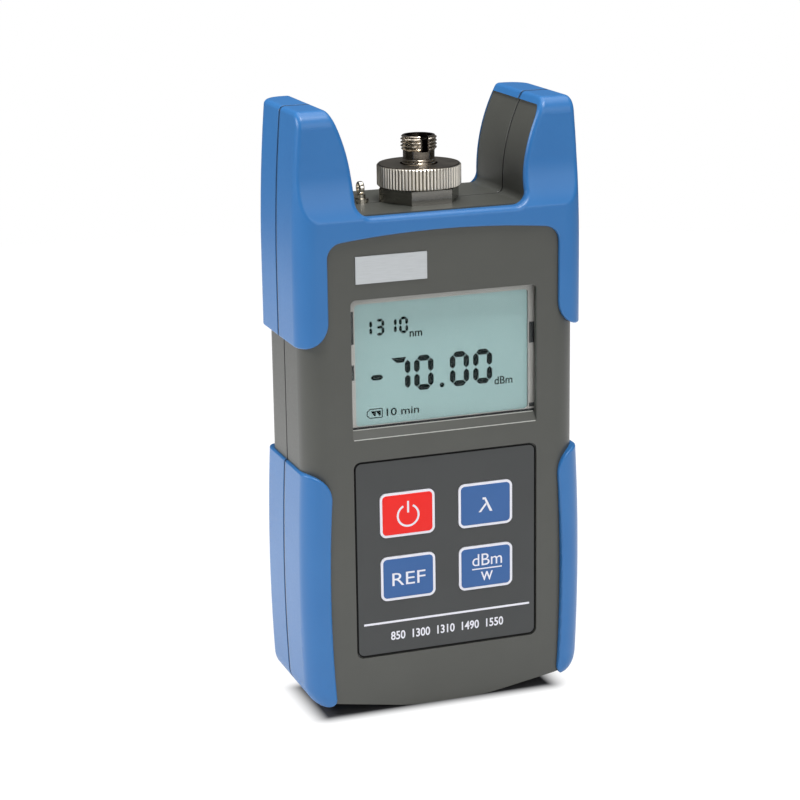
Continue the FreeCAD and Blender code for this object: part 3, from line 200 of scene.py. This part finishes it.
# ---- plated metal
# Turned brass and steel with bright nickel plate.  A lathe leaves rings across the axis, which
# show as bright and dark lines where the metal mirrors the room.  Real rings are far finer: here
# they are drawn about 2 mm apart, so that they show.
def plated(name, colour, roughness, ring, relief, grooves=None):
    """Nickel plate over turning marks, whose rings have a pitch and relief in mm.

    Grooves are the radii in mm between which a knurl or thread goes from painted shade in its
    roots to its own bright colour at the crests.  A little further in lies the flat top, which is
    painted dark too and given only a share of that brightness.
    """
    # The band texture runs through 20 radians in each unit of its scale.
    bands_per_unit = 20 / (2 * pi)
    smear, least_rough, most_rough = 2.5, 0.7, 1.4
    top_edge, top_flat, top_share = 0.2, 0.5, 0.14
    made, tree = blank(name)
    place = node(tree, "TexCoord").outputs["Object"]
    rings = node(tree, "TexWave", {"Vector": place, "Scale": 1 / (bands_per_unit * ring * MM),
                                   "Distortion": 1.5, "Detail": 2.0, "Detail Scale": 0.5},
                 wave_type="BANDS", bands_direction="Z")
    smears = node(tree, "TexNoise", {"Vector": place, "Scale": 1 / (smear * MM), "Detail": 4.0})
    rough = node(tree, "MapRange", {
        "Value": smears.outputs["Fac"], "To Min": roughness * least_rough,
        "To Max": roughness * most_rough})
    bump = node(tree, "Bump", {"Height": rings.outputs["Fac"], "Distance": relief * MM})
    tint = linear(colour)
    if grooves:
        root, crest = grooves
        across = node(tree, "VectorMath", {0: place, 1: (1, 1, 0)}, operation="MULTIPLY")
        radius = node(tree, "VectorMath", {0: across.outputs["Vector"]}, operation="LENGTH")
        crests = node(tree, "MapRange", {"Value": radius.outputs["Value"],
                                         "From Min": root * MM, "From Max": crest * MM})
        flat_top = node(tree, "MapRange", {
            "Value": radius.outputs["Value"], "From Min": (root - top_edge) * MM,
            "From Max": (root - top_flat) * MM, "To Max": top_share})
        shade = node(tree, "Math", {0: crests.outputs["Result"], 1: flat_top.outputs["Result"]},
                     operation="MAXIMUM")
        # The dark colour is painted shade in the roots and on the flat top.
        tint = node(tree, "Mix", {0: shade.outputs["Value"], 6: linear("#4a433b"),
                                  7: linear(colour)}, data_type="RGBA").outputs[2]
    skin = node(tree, "BsdfPrincipled", {
        "Base Color": tint, "Metallic": 1.0, "Roughness": rough.outputs["Result"],
        "Normal": bump.outputs["Normal"]})
    node(tree, "OutputMaterial", {"Surface": skin.outputs["BSDF"]})
    return made


bright_nickel = plated("bright_nickel_plate", "#d8d2c6", 0.11, ring=1.885, relief=0.003)
# The flange base is satin nickel whose colour is darkened with painted shade under the union nut.
shaded_satin_nickel = plated("shaded_satin_nickel_plate", "#8c8a84", 0.2, ring=1.885, relief=0.003)
knurled_nickel = plated("knurled_nickel_plate", "#fbf5e8", 0.34, ring=1.885, relief=0.003,
                        grooves=(9.06, 9.24))
threaded_nickel = plated("threaded_nickel_plate", "#f6ead8", 0.2, ring=1.885, relief=0.002,
                         grooves=(3.35, 3.95))
zinc = plated("zinc_plated_steel", "#b9babd", 0.35, ring=2.513, relief=0.004)
gold = plated("gold_plated_can", "#d9b765", 0.25, ring=2.513, relief=0.002)
dress(bright_nickel, "port_locknut", "tether_eye", "eye_clip")
dress(shaded_satin_nickel, "port_base")
dress(knurled_nickel, "union_nut")
dress(zinc, "board_screws", "case_screws")
dress(gold, "detector")


# ---- fibre adapter
# One piece of nickel-plated brass: a flange that the union nut holds down, two rings, a barrel
# with an M8 x 0.75 thread and a milled key slot, and a sleeve for the ferrule.  The thread is
# cut here, where the CAD barrel has plain crests.
adapter_low, adapter_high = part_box("fibre_adapter")
barrel_bore, sleeve_radius = 3.05, 1.75


def bridge(shape, low, high):
    """Faces between two rings of as many corners."""
    for number in range(len(low)):
        after = (number + 1) % len(low)
        shape.faces.new((low[number], low[after], high[after], high[number]))


def lathe(profile, steps):
    """A closed mesh turned about Z from a ring of radii and heights in mm, and its rings."""
    made = bmesh.new()
    rings = [[made.verts.new((radius * MM * cos(2 * pi * turn / steps),
                              radius * MM * sin(2 * pi * turn / steps), height * MM))
              for turn in range(steps)] for radius, height in profile]
    for low, high in zip(rings, rings[1:] + rings[:1]):
        bridge(made, low, high)
    return made, rings


def adapter_mesh(steps=120, rows=72):
    """The adapter's section with its thread, from the foot of the flange to the barrel's end."""
    foot, end = adapter_low.z / MM, adapter_high.z / MM
    flange_edge, flange_tall, flange_bevel = adapter_high.x / MM, 1.3, 0.12
    ferrule_bore, sleeve_drop, bore_depth, neck = 1.25, 0.95, 4.45, 3.5
    band, band_tall, first_band, band_pitch = 3.75, 0.45, 1.4, 0.7
    edge_wide, edge_tall = 0.06, 0.08
    crest, root, pitch, bevel, barrel_length = 4.0, 3.6, 0.75, 0.4, 3.3
    flank, crest_flat = 1.6, 0.3
    flange, barrel = foot + flange_tall, end - barrel_length
    profile = [(ferrule_bore, foot), (flange_edge, foot), (flange_edge, flange - flange_bevel),
               (flange_edge - flange_bevel, flange), (neck, flange)]
    for number in range(2):
        low = flange + first_band + band_pitch * number
        high = low + band_tall
        profile += [(neck, low), (band - edge_wide, low), (band, low + edge_tall),
                    (band, high - edge_tall), (band - edge_wide, high), (neck, high)]
    profile += [(neck, barrel), (crest - bevel, barrel)]
    first = len(profile)
    profile += [(crest, barrel + barrel_length * row / rows) for row in range(1, rows)]
    last = len(profile)
    profile += [(crest - bevel, end), (barrel_bore, end), (barrel_bore, end - bore_depth),
                (sleeve_radius, end - bore_depth), (sleeve_radius, end - sleeve_drop),
                (ferrule_bore, end - sleeve_drop)]
    made, rings = lathe(profile, steps)
    for ring in rings[first:last]:
        for turn, vert in enumerate(ring):
            height = vert.co.z / MM
            phase = (height / pitch - turn / steps) % 1.0
            groove = 1 - abs(2 * phase - 1)
            depth = (crest - root) * min(1.0, max(0.0, flank * groove - crest_flat))
            near_end = min(height - barrel, end - height)
            radius = min(crest - depth, crest - bevel + near_end)
            vert.co.x *= radius / crest
            vert.co.y *= radius / crest
    return made


threaded = solid("threaded_adapter", adapter_mesh(), "adapter", threaded_nickel,
                 smooth=35)

# The cutter for the key slot stands half above the barrel and ends in the gap round the sleeve.
slot_wide, slot_deep, slot_tall = 1.95, 6.0, 7.0
slot_floor = -(barrel_bore + sleeve_radius) / 2
key_slot = bmesh.new()
bmesh.ops.create_cube(key_slot, size=1.0)
bmesh.ops.transform(key_slot, verts=key_slot.verts, matrix=(
    Matrix.Translation((0, (slot_floor - slot_deep / 2) * MM, adapter_high.z))
    @ Matrix.Diagonal((slot_wide * MM, slot_deep * MM, slot_tall * MM, 1))))
cutter = solid("key_slot_cutter", key_slot, "adapter", threaded_nickel)
cut = threaded.modifiers.new("key_slot", "BOOLEAN")
cut.object = cutter
cut.solver = "EXACT"
finished = bpy.data.meshes.new_from_object(
    threaded.evaluated_get(bpy.context.evaluated_depsgraph_get()))
threaded.modifiers.clear()
threaded.data = finished
bpy.data.objects.remove(cutter)
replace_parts(threaded, "fibre_adapter")


# ---- display
# A reflective liquid crystal under a clear acrylic lens, in a light moulded bezel, with a
# light guide behind.  Its dark segments and unit marks are printed electrodes in the glass.
bezel_abs = moulded("light_bezel_abs", "#8b8683", "#97928f", 0.45, grain=0.4, relief=0.006)
guide_acrylic = moulded("opal_light_guide", "#e4e6e2", "#edefec", 0.3, grain=0.8, relief=0.002)
crystal = moulded("polariser_film", "#748b8c", "#809898", 0.28, grain=0.25, relief=0.001,
                  cloud=16.0)
segment_ink = moulded("liquid_crystal_segment", "#0c1213", "#121919", 0.6, grain=0.3,
                      relief=0.001, **{"Specular IOR Level": 0.0})
dress(guide_acrylic, "backlight")
dress(crystal, "lcd_glass")

# The lens has an anti-reflection coat, so it mirrors as little as a lower index would.  The
# lamps shine straight through it.
lens_acrylic, lens_tree = blank("clear_acrylic_lens")
lens_skin = node(lens_tree, "BsdfPrincipled", {
    "Base Color": linear("#f4f8f7"), "Roughness": 0.0, "Transmission Weight": 1.0, "IOR": 1.15})
lamp_rays = node(lens_tree, "LightPath").outputs["Is Shadow Ray"]
lens_mix = node(lens_tree, "MixShader", {
    0: lamp_rays, 1: lens_skin.outputs["BSDF"],
    2: node(lens_tree, "BsdfTransparent").outputs["BSDF"]})
node(lens_tree, "OutputMaterial", {"Surface": lens_mix.outputs["Shader"]})
lens_low, lens_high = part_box("display_window")
lens_space, lens_bevel = 0.08, 0.1
lens_outline = oblong(lens_low.x / MM, lens_high.x / MM, lens_low.z / MM, lens_high.z / MM)
lens_shape = sheet_of([lens_outline], lens_low.y, (lens_high.y - lens_low.y) / MM - lens_space)
bmesh.ops.bevel(lens_shape, geom=lens_shape.edges[:], offset=lens_bevel * MM, segments=2,
                affect="EDGES")
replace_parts(solid("display_lens", lens_shape, "case", lens_acrylic), "display_window")


def rounded(x, z, half_wide, half_tall, radius, corner_steps=8):
    """Outline of a rectangle with round corners about a centre."""
    points = []
    for quarter, (right, top) in enumerate(((1, 1), (-1, 1), (-1, -1), (1, -1))):
        for step in range(corner_steps + 1):
            turn = (quarter + step / corner_steps) * pi / 2
            points.append((x + right * (half_wide - radius) + radius * cos(turn),
                           z + top * (half_tall - radius) + radius * sin(turn)))
    return points


def ringed(rings, front):
    """A closed solid through a ring of outlines of as many points.

    Each outline lies at a depth in mm behind the front, which is in metres along Y.
    """
    made = bmesh.new()
    loops = [[made.verts.new((x * MM, front + depth * MM, z * MM)) for x, z in outline]
             for outline, depth in rings]
    for low, high in zip(loops, loops[1:] + loops[:1]):
        bridge(made, low, high)
    return made


# The bezel's sight has round corners and lies a little off its middle.
bezel_low, bezel_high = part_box("lcd_frame")
bezel_x, bezel_z = bezel_high.x / MM, (bezel_high.z + bezel_low.z) / 2 / MM
bezel_tall, bezel_deep = (bezel_high.z - bezel_low.z) / 2 / MM, (bezel_high.y - bezel_low.y) / MM
bezel_lip, bezel_wall, bezel_corner = 0.5, 0.9, 0.3
sight_x, sight_z, sight_wide, sight_tall, sight_corner = 0.22, 79.68, 20.3, 13.68, 0.9
outside = rounded(0.0, bezel_z, bezel_x, bezel_tall, bezel_corner)
sight = rounded(sight_x, sight_z, sight_wide, sight_tall, sight_corner)
pocket = rounded(0.0, bezel_z, bezel_x - bezel_wall, bezel_tall - bezel_wall, bezel_corner)
bezel = solid("display_bezel", ringed(
    [(outside, 0), (sight, 0), (sight, bezel_lip), (pocket, bezel_lip), (pocket, bezel_deep),
     (outside, bezel_deep)], bezel_low.y), "case", bezel_abs)
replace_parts(bezel, "lcd_frame")

# Dark patches break its border: two notches on each side, and a strip of painted shade along
# its foot.  The lower notch on the right, just above that strip, is painted shade as well.
border_edge, right_notch, left_notch, notch_thick = 22.4, 20.75, -20.35, 0.02
notches_and_shade = [oblong(*edges) for edges in (
    (right_notch, border_edge, 81.1, 85.9), (right_notch, border_edge, 66.4, 67.3),
    (-border_edge, left_notch, 84.6, 91.9), (-border_edge, left_notch, 76.6, 80.0),
    (-border_edge, border_edge, 64.7, 65.95))]
solid("bezel_notches_and_shade", sheet_of(notches_and_shade, bezel_low.y - notch_thick * MM, notch_thick), "case",
      black_epoxy)

# Both edges of the sill under the lens carry a painted highlight, a thin light strip along each.
sill_highlight_paint = moulded("painted_sill_highlight", "#b4b5af", "#c0c1bb", 0.35, grain=0.4, relief=0.004)
sill_half, sill_tall, sill_thick = 21.4, 0.2, 0.02
for name, low, front in (("sill_highlight_front", 63.55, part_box("front_shell")[0].y),
                         ("sill_highlight_back", 65.42, lens_low.y)):
    highlight_line = oblong(-sill_half, sill_half, low, low + sill_tall)
    solid(name, sheet_of([highlight_line], front - sill_thick / 2 * MM, sill_thick), "case",
          sill_highlight_paint)


def bar(x, z, length, stroke, upright):
    """One segment of a figure: a bar with pointed ends."""
    half, width = length / 2, stroke / 2
    points = [(-half, 0), (width - half, width), (half - width, width), (half, 0),
              (half - width, -width), (width - half, -width)]
    return [(x + across, z + up) if not upright else (x - up, z + across)
            for across, up in points]


def figure(character, left, low, wide, tall, stroke):
    """The lit segments of one seven-segment figure."""
    lit = {"0": "abcdef", "1": "bc", "3": "abcdg"}[character]
    gap = 0.08 * stroke
    across, up = wide - stroke, (tall - stroke) / 2
    mid_x, mid_z = left + wide / 2, low + tall / 2
    right_x, left_x = left + wide - stroke / 2, left + stroke / 2
    places = {
        "a": (mid_x, low + tall - stroke / 2, across, False),
        "g": (mid_x, mid_z, across, False), "d": (mid_x, low + stroke / 2, across, False),
        "b": (right_x, mid_z + up / 2, up, True), "c": (right_x, mid_z - up / 2, up, True),
        "e": (left_x, mid_z - up / 2, up, True), "f": (left_x, mid_z + up / 2, up, True)}
    return [bar(x, z, length - 2 * gap, stroke, upright)
            for x, z, length, upright in (places[name] for name in lit)]


def disc(x, z, radius, corners=24):
    """Outline of a round dot."""
    return [(x + radius * cos(2 * pi * turn / corners), z + radius * sin(2 * pi * turn / corners))
            for turn in range(corners)]


def drawn(corners, line):
    """A line drawn round a ring of corners, as one bar for each side."""
    bars = []
    for start, end in zip(corners, corners[1:] + corners[:1]):
        turn = atan2(end[1] - start[1], end[0] - start[0])
        aside, up = -sin(turn) * line / 2, cos(turn) * line / 2
        bars.append([(start[0] - aside, start[1] - up), (end[0] - aside, end[1] - up),
                     (end[0] + aside, end[1] + up), (start[0] + aside, start[1] + up)])
    return bars


def battery_mark(left, low, wide, tall, line):
    """A battery lying down, with its nub on the left and two slanted charge marks inside."""
    nub, nub_edge, nub_root = 0.5, 0.55, 0.15
    first_charge, charge_pitch, charge_wide, slant, charge_low, charge_high = (
        0.35, 1.15, 1.15, 0.75, 0.4, 0.45)
    right, high = left + wide, low + tall
    marks = drawn([(left - nub, low + nub_edge), (left, low + nub_root), (left, low),
                   (right, low), (right, high), (left, high), (left, high - nub_root),
                   (left - nub, high - nub_edge)], line)
    for number in range(2):
        start = left + first_charge + charge_pitch * number
        marks.append([(start, high - charge_high), (start + slant, low + charge_low),
                      (start + charge_wide, low + charge_low),
                      (start + charge_wide, high - charge_high)])
    return marks


# The level in large figures, whose seven has a wedge for its top stroke, and the wavelength in
# small ones, with a minus sign, a point and a battery mark.
glass_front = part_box("lcd_glass")[0].y
ink = 0.02
level_low, level_wide, level_tall, level_stroke = 72.75, 4.55, 7.9, 1.3
wave_low, wave_wide, wave_tall, wave_stroke = 85.95, 2.1, 3.75, 0.64
wedge = [(-11.65, 80.6), (-8.15, 80.6), (-8.75, 79.4), (-10.35, 79.4)]
reading = []
for character, left in (("1", -11.75), ("0", -6.35), ("0", 2.05), ("0", 7.55)):
    reading += figure(character, left, level_low, level_wide, level_tall, level_stroke)
reading.append(wedge)
for character, left in (("1", -18.0), ("3", -15.2), ("1", -12.35), ("0", -9.7)):
    reading += figure(character, left, wave_low, wave_wide, wave_tall, wave_stroke)
reading += [bar(-15.0, 76.6, length=3.0, stroke=1.2, upright=False), disc(0.17, 73.4, radius=0.55)]
reading += battery_mark(left=-16.9, low=67.55, wide=3.0, tall=2.0, line=0.2)
solid("display_segments", sheet_of(reading, glass_front - ink * MM, ink), "case", segment_ink)


def lettering(name, words, left, low, wide, tall, front, body, material, bold=0.0):
    """Printed words, fitted to a width and height in mm, in front of a face in metres along Y.

    The text is drawn two-sided in its own units: one side ends on the face, one an ink's
    thickness in front of it.
    """
    text = bpy.data.curves.new(name, "FONT")
    text.body = words
    text.offset = bold
    text.resolution_u = 4
    text.extrude = 0.01
    draft = bpy.data.objects.new(name + "_draft", text)
    bpy.context.collection.objects.link(draft)
    bpy.context.view_layer.update()
    mesh = bpy.data.meshes.new_from_object(
        draft.evaluated_get(bpy.context.evaluated_depsgraph_get()))
    bpy.data.objects.remove(draft)
    shape = bmesh.new()
    shape.from_mesh(mesh)
    bmesh.ops.remove_doubles(shape, verts=shape.verts, dist=1e-5)
    across = [vert.co.x for vert in shape.verts]
    up = [vert.co.y for vert in shape.verts]
    widen, heighten = wide / (max(across) - min(across)), tall / (max(up) - min(up))
    for vert in shape.verts:
        depth = -ink if vert.co.z > 0 else 0.0
        vert.co = ((left + (vert.co.x - min(across)) * widen) * MM, front + depth * MM,
                   (low + (vert.co.y - min(up)) * heighten) * MM)
    return solid(name, shape, body, material)


lettering("wavelength_unit", "nm", left=-7.3, low=85.0, wide=2.95, tall=1.25,
          front=glass_front, body="case", material=segment_ink, bold=0.02)
lettering("level_unit", "dBm", left=12.6, low=72.2, wide=4.35, tall=1.8,
          front=glass_front, body="case", material=segment_ink, bold=0.012)
lettering("timer_mark", "10 min", left=-12.9, low=67.65, wide=7.6, tall=1.75,
          front=glass_front, body="case", material=segment_ink, bold=0.012)


# ---- keypad
# A satin polycarbonate overlay, stuck in a shallow recess and screen-printed with inks that are
# a little glossier than the film.  Four embossed key tops sit in its windows, each with a white
# border round a slightly raised coloured pad.
overlay = moulded("satin_polycarbonate_film", "#3a3c3c", "#414343", 0.48, grain=0.3, relief=0.004,
                  cloud=12.0, IOR=1.46)
white_print = moulded("white_screen_ink", "#e6e6f0", "#f0f0f6", 0.4, grain=0.3, relief=0.002)
# The black is painted shade in the gap round the film's edge.
gap_shade_paint = moulded("painted_gap_shade", "#050506", "#09090a", 0.6, grain=0.3, relief=0.002,
                      **{"Specular IOR Level": 0.1})
red_print = moulded("red_screen_ink", "#ee1d17", "#f4231b", 0.36, grain=0.4, relief=0.002,
                    IOR=1.38)
blue_print = moulded("blue_screen_ink", "#345f9a", "#3c67a2", 0.36, grain=0.4, relief=0.002,
                     IOR=1.38)
dress(overlay, "keypad_film")
dress(white_print, "key_power", "key_wavelength", "key_reference", "key_unit")


def embossed(x, z, half_wide, half_tall, corner, front, rises):
    """A raised pad: insets from its edge with the height that each has reached, in mm."""
    sunk, least_corner = 0.02, 0.15
    made = bmesh.new()
    loops = []
    for inset, rise in [(0.0, -sunk)] + rises:
        outline = rounded(x, z, half_wide - inset, half_tall - inset,
                          max(corner - inset, least_corner))
        loops.append([made.verts.new((px * MM, front - rise * MM, pz * MM)) for px, pz in outline])
    for low, high in zip(loops, loops[1:]):
        bridge(made, low, high)
    made.faces.new(loops[-1])
    made.faces.new(list(reversed(loops[0])))
    return made


# A pad's edge climbs steeply and then flattens into a low crown.
key_border, pad_corner = 0.55, 0.95
pad_rises = [(0.04, 0.05), (0.2, 0.1), (0.45, 0.13), (1.2, 0.15)]
pad_height = pad_rises[-1][1]
key_tops = {}
for key, pad_ink, pad_slot in (("power", red_print, "key_red"),
                               ("wavelength", blue_print, "key_blue"),
                               ("reference", blue_print, "key_blue"),
                               ("unit", blue_print, "key_blue")):
    low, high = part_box("key_" + key)
    x, z = (low.x + high.x) / 2 / MM, (low.z + high.z) / 2 / MM
    half_wide, half_tall = (high.x - low.x) / 2 / MM, (high.z - low.z) / 2 / MM
    pad = embossed(x, z, half_wide - key_border, half_tall - key_border, pad_corner, low.y,
                   pad_rises)
    solid(key + "_pad", pad, key + "_key", pad_ink, smooth=50)
    key_tops[key] = (x, z, low.y - pad_height * MM)


def open_ring(x, z, radius, line, opening, steps=40):
    """A printed ring with an opening in degrees at its top, as one patch for each step."""
    start, end = radians(90 + opening / 2), radians(450 - opening / 2)
    turns = [start + (end - start) * step / steps for step in range(steps + 1)]
    return [[(x + (radius + side * line / 2) * cos(turn), z + (radius + side * line / 2)
              * sin(turn)) for turn, side in ((a, -1), (a, 1), (b, 1), (b, -1))]
            for a, b in zip(turns, turns[1:])]


def legend(name, outlines, key):
    """White printed shapes on top of a key's pad."""
    solid(name, sheet_of(outlines, key_tops[key][2] - ink * MM, ink), key + "_key", white_print)


# Each legend is placed from the middle of its key.
x, z, _ = key_tops["power"]
power_x, power_z, power_line = x + 0.1, z - 0.35, 0.46
stroke = oblong(power_x - power_line / 2, power_x + power_line / 2, z + 0.3, z + 2.95)
legend("power_symbol", open_ring(power_x, power_z, radius=2.45, line=power_line, opening=54)
       + [stroke], "power")
x, z, _ = key_tops["wavelength"]
long_leg = [(x - 0.75, z + 1.62), (x, z + 1.62), (x + 1.62, z - 1.75), (x + 1.0, z - 1.75),
            (x - 0.3, z + 1.15), (x - 0.75, z + 1.15)]
short_leg = [(x - 0.02, z + 0.35), (x + 0.2, z - 0.1), (x - 1.15, z - 1.75), (x - 1.72, z - 1.75)]
legend("wavelength_symbol", [long_leg, short_leg], "wavelength")
x, z, top = key_tops["reference"]
lettering("reference_legend", "REF", left=x - 3.85, low=z - 1.7, wide=7.85, tall=2.95,
          front=top, body="reference_key", material=white_print)
x, z, top = key_tops["unit"]
lettering("decibel_legend", "dBm", left=x - 3.3, low=z + 0.4, wide=7.2, tall=2.75,
          front=top, body="unit_key", material=white_print)
lettering("watt_legend", "W", left=x - 1.25, low=z - 3.25, wide=2.9, tall=2.15,
          front=top, body="unit_key", material=white_print, bold=0.02)
legend("unit_rule", [oblong(x - 3.35, x + 3.85, z - 0.5, z - 0.22)], "unit")

# A black ring round the film's edge is painted shade in the gap of its recess.  The film is
# printed with a white rule under the keys and a line of numbers.
film_low, film_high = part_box("keypad_film")
film_front, film_z = film_low.y, (film_high.z + film_low.z) / 2 / MM
film_wide, film_tall = film_high.x / MM, (film_high.z - film_low.z) / 2 / MM
film_corner, border_wide = 1.6, 0.3
border = [(rounded(0.0, film_z, film_wide - inset, film_tall - inset, film_corner - inset), depth)
          for inset, depth in ((0.0, 0.0), (border_wide, 0.0), (border_wide, ink), (0.0, ink))]
solid("film_edge_shade", ringed(border, film_front - ink * MM), "case", gap_shade_paint)
rule = oblong(-19.85, 19.95, 20.35, 20.83)
solid("film_rule", sheet_of([rule], film_front - ink * MM, ink), "case", white_print)
lettering("film_numbers", "850  1300  1310  1490  1550", left=-13.55, low=16.2, wide=27.1,
          tall=2.05, front=film_front, body="case", material=white_print, bold=0.02)


# ---- plate over the display
# A thin strip of aluminium, brushed along its length and lacquered to a satin, and stuck in a
# recess.  It is bare.  The brush marks are 0.2 mm wide, which is coarser than real ones, so that
# they show.
mark_wide, mark_depth, mark_shrink = 0.2, 0.006, 0.06
plate_metal, plate_tree = blank("brushed_aluminium")
plate_place = node(plate_tree, "TexCoord").outputs["Object"]
plate_map = node(plate_tree, "Mapping", {"Vector": plate_place, "Scale": (mark_shrink, 1.0, 1.0)})
plate_brush = node(plate_tree, "TexNoise", {"Vector": plate_map.outputs["Vector"],
                                            "Scale": 1 / (mark_wide * MM), "Detail": 2.0})
plate_tone = node(plate_tree, "Mix", {0: plate_brush.outputs["Fac"], 6: linear("#b6babc"),
                                      7: linear("#caced0")}, data_type="RGBA")
plate_bump = node(plate_tree, "Bump", {"Height": plate_brush.outputs["Fac"],
                                       "Distance": mark_depth * MM})
plate_skin = node(plate_tree, "BsdfPrincipled", {
    "Base Color": plate_tone.outputs[2], "Metallic": 0.4, "Roughness": 0.4,
    "Normal": plate_bump.outputs["Normal"]})
node(plate_tree, "OutputMaterial", {"Surface": plate_skin.outputs["BSDF"]})
dress(plate_metal, "name_plate")


# ---- battery bay
# Three cells in glossy printed shrink sleeves, between nickel-plated spring strips.  The sliding
# door is of the same ABS as the case, moulded with a slightly deeper grain.
sleeve = moulded("printed_shrink_sleeve", "#2a2e33", "#343940", 0.3, grain=1.2, relief=0.003)
dress(sleeve, "cell_left", "cell_middle", "cell_right")
dress(bright_nickel, "contacts_bottom", "contacts_top")
door_abs = moulded("spark_eroded_abs_door", "#484944", "#50514b", 0.44, grain=0.35, relief=0.014,
                   IOR=1.54)
dress(door_abs, "battery_door")


# ---- studio
# A round white table in a dim room, with soft boxes above, in front and to the left.  The table
# is plain white to the eye past the meter's footprint.  Under and close to the meter that white
# fades out over a box set here, and there the eye sees the table at a tenth of its lit colour,
# a painted shadow.  Mirrors see a dimmer table.
table_radius, table_middle = 0.6, (-0.02, -0.05, 0)
shadow_middle, shadow_half, shadow_reach = (-0.002, -0.0057, 0), (0.0265, 0.0094, 0), 0.005
side_reach, shadow_power, mirror_share = 0.85, 0.6, 0.3
table = bmesh.new()
bmesh.ops.create_circle(table, cap_ends=True, radius=table_radius, segments=96)
bmesh.ops.translate(table, verts=table.verts, vec=table_middle)
floor_mesh = bpy.data.meshes.new("floor")
table.to_mesh(floor_mesh)
table.free()
floor = bpy.data.objects.new("floor", floor_mesh)
bpy.context.collection.objects.link(floor)
paper, paper_tree = blank("white_table")
rays = node(paper_tree, "LightPath")
seen = node(paper_tree, "Math", {0: rays.outputs["Is Camera Ray"],
                                 1: rays.outputs["Is Transmission Ray"]}, operation="MAXIMUM")
shown = node(paper_tree, "Math", {0: rays.outputs["Is Glossy Ray"], 1: mirror_share,
                                  2: seen.outputs["Value"]}, operation="MULTIPLY_ADD")
spot = node(paper_tree, "VectorMath", {0: node(paper_tree, "TexCoord").outputs["Object"],
                                       1: shadow_middle}, operation="SUBTRACT")
aside = node(paper_tree, "VectorMath", {0: spot.outputs["Vector"]}, operation="ABSOLUTE")
beyond = node(paper_tree, "VectorMath", {0: aside.outputs["Vector"], 1: shadow_half},
              operation="SUBTRACT")
past = node(paper_tree, "VectorMath", {0: beyond.outputs["Vector"], 1: (0, 0, 0)},
            operation="MAXIMUM")
spread = node(paper_tree, "VectorMath", {0: past.outputs["Vector"], 1: (side_reach, 1.0, 1.0)},
              operation="MULTIPLY")
away = node(paper_tree, "VectorMath", {0: spread.outputs["Vector"]}, operation="LENGTH")
fade = node(paper_tree, "MapRange", {"Value": away.outputs["Value"], "From Min": 0.0,
                                     "From Max": shadow_reach}, interpolation_type="SMOOTHSTEP")
soft = node(paper_tree, "Math", {0: fade.outputs["Result"], 1: shadow_power}, operation="POWER")
white = node(paper_tree, "Math", {0: shown.outputs["Value"], 1: soft.outputs["Value"]},
             operation="MULTIPLY")
# The tone that the eye sees under the meter is a painted shadow.
paper_lit, painted_shadow_tone = (0.86, 0.86, 0.87, 1), (0.085, 0.085, 0.09, 1)
paper_tone = node(paper_tree, "Mix", {0: rays.outputs["Is Camera Ray"], 6: paper_lit,
                                      7: painted_shadow_tone}, data_type="RGBA")
paper_skin = node(paper_tree, "BsdfDiffuse", {"Color": paper_tone.outputs[2]})
paper_white = node(paper_tree, "Emission", {"Color": (1, 1, 1, 1),
                                            "Strength": white.outputs["Value"]})
paper_sum = node(paper_tree, "AddShader", {0: paper_skin.outputs["BSDF"],
                                           1: paper_white.outputs["Emission"]})
node(paper_tree, "OutputMaterial", {"Surface": paper_sum.outputs["Shader"]})
floor_mesh.materials.append(paper)

# The room is white to the eye and gives a tenth of that as light.
room = bpy.data.worlds.new("studio_room")
room.use_nodes = True
bpy.context.scene.world = room
room.node_tree.nodes.clear()
room_rays = node(room.node_tree, "LightPath")
room_glow = node(room.node_tree, "MapRange", {
    "Value": room_rays.outputs["Is Camera Ray"], "To Min": 0.1, "To Max": 1.0})
room_light = node(room.node_tree, "Background", {"Color": (1, 1, 1, 1),
                                                 "Strength": room_glow.outputs["Result"]})
node(room.node_tree, "OutputWorld", {"Surface": room_light.outputs["Background"]})

# Each soft box has a place, an aim, a width, a height and a power in watts.
for name, place, aim, wide, tall, power in (
        ("top_box", (0.05, 0.15, 0.85), (0.0, 0.0, 0.07), 0.8, 0.8, 4.2),
        ("key_box", (0.0, -0.2, 0.75), (0.0, 0.0, 0.1), 0.2, 0.2, 3.0),
        ("front_wall", (0.2, -1.1, 0.55), (0.0, 0.0, 0.07), 1.0, 0.8, 5.0),
        ("left_box", (-0.3, 0.06, 0.22), (0.0, 0.0, 0.08), 0.2, 0.1, 0.62)):
    lamp = bpy.data.lights.new(name, "AREA")
    lamp.shape = "RECTANGLE"
    lamp.size, lamp.size_y = wide, tall
    lamp.energy = power
    holder = bpy.data.objects.new(name, lamp)
    holder.location = place
    holder.rotation_euler = (Vector(aim) - Vector(place)).to_track_quat("-Z", "Y").to_euler()
    bpy.context.collection.objects.link(holder)

# The camera stands to the front left, above the meter, and looks a little down.
camera_data = bpy.data.cameras.new("camera")
camera_data.sensor_width = 36.0
camera_data.lens = 105.81
camera_data.clip_start = 0.05
camera = bpy.data.objects.new("camera", camera_data)
camera_place = (-0.17699, -0.48198, 0.20571)
yaw, pitch, roll = radians(19.618), radians(15.133), radians(-0.826)
camera.matrix_world = (
    Matrix.Translation(camera_place) @ Matrix.Rotation(-yaw, 4, "Z")
    @ Matrix.Rotation(pi / 2 - pitch, 4, "X") @ Matrix.Rotation(roll, 4, "Z"))
bpy.context.collection.objects.link(camera)
bpy.context.scene.camera = camera
bpy.context.scene.view_settings.view_transform = "Standard"
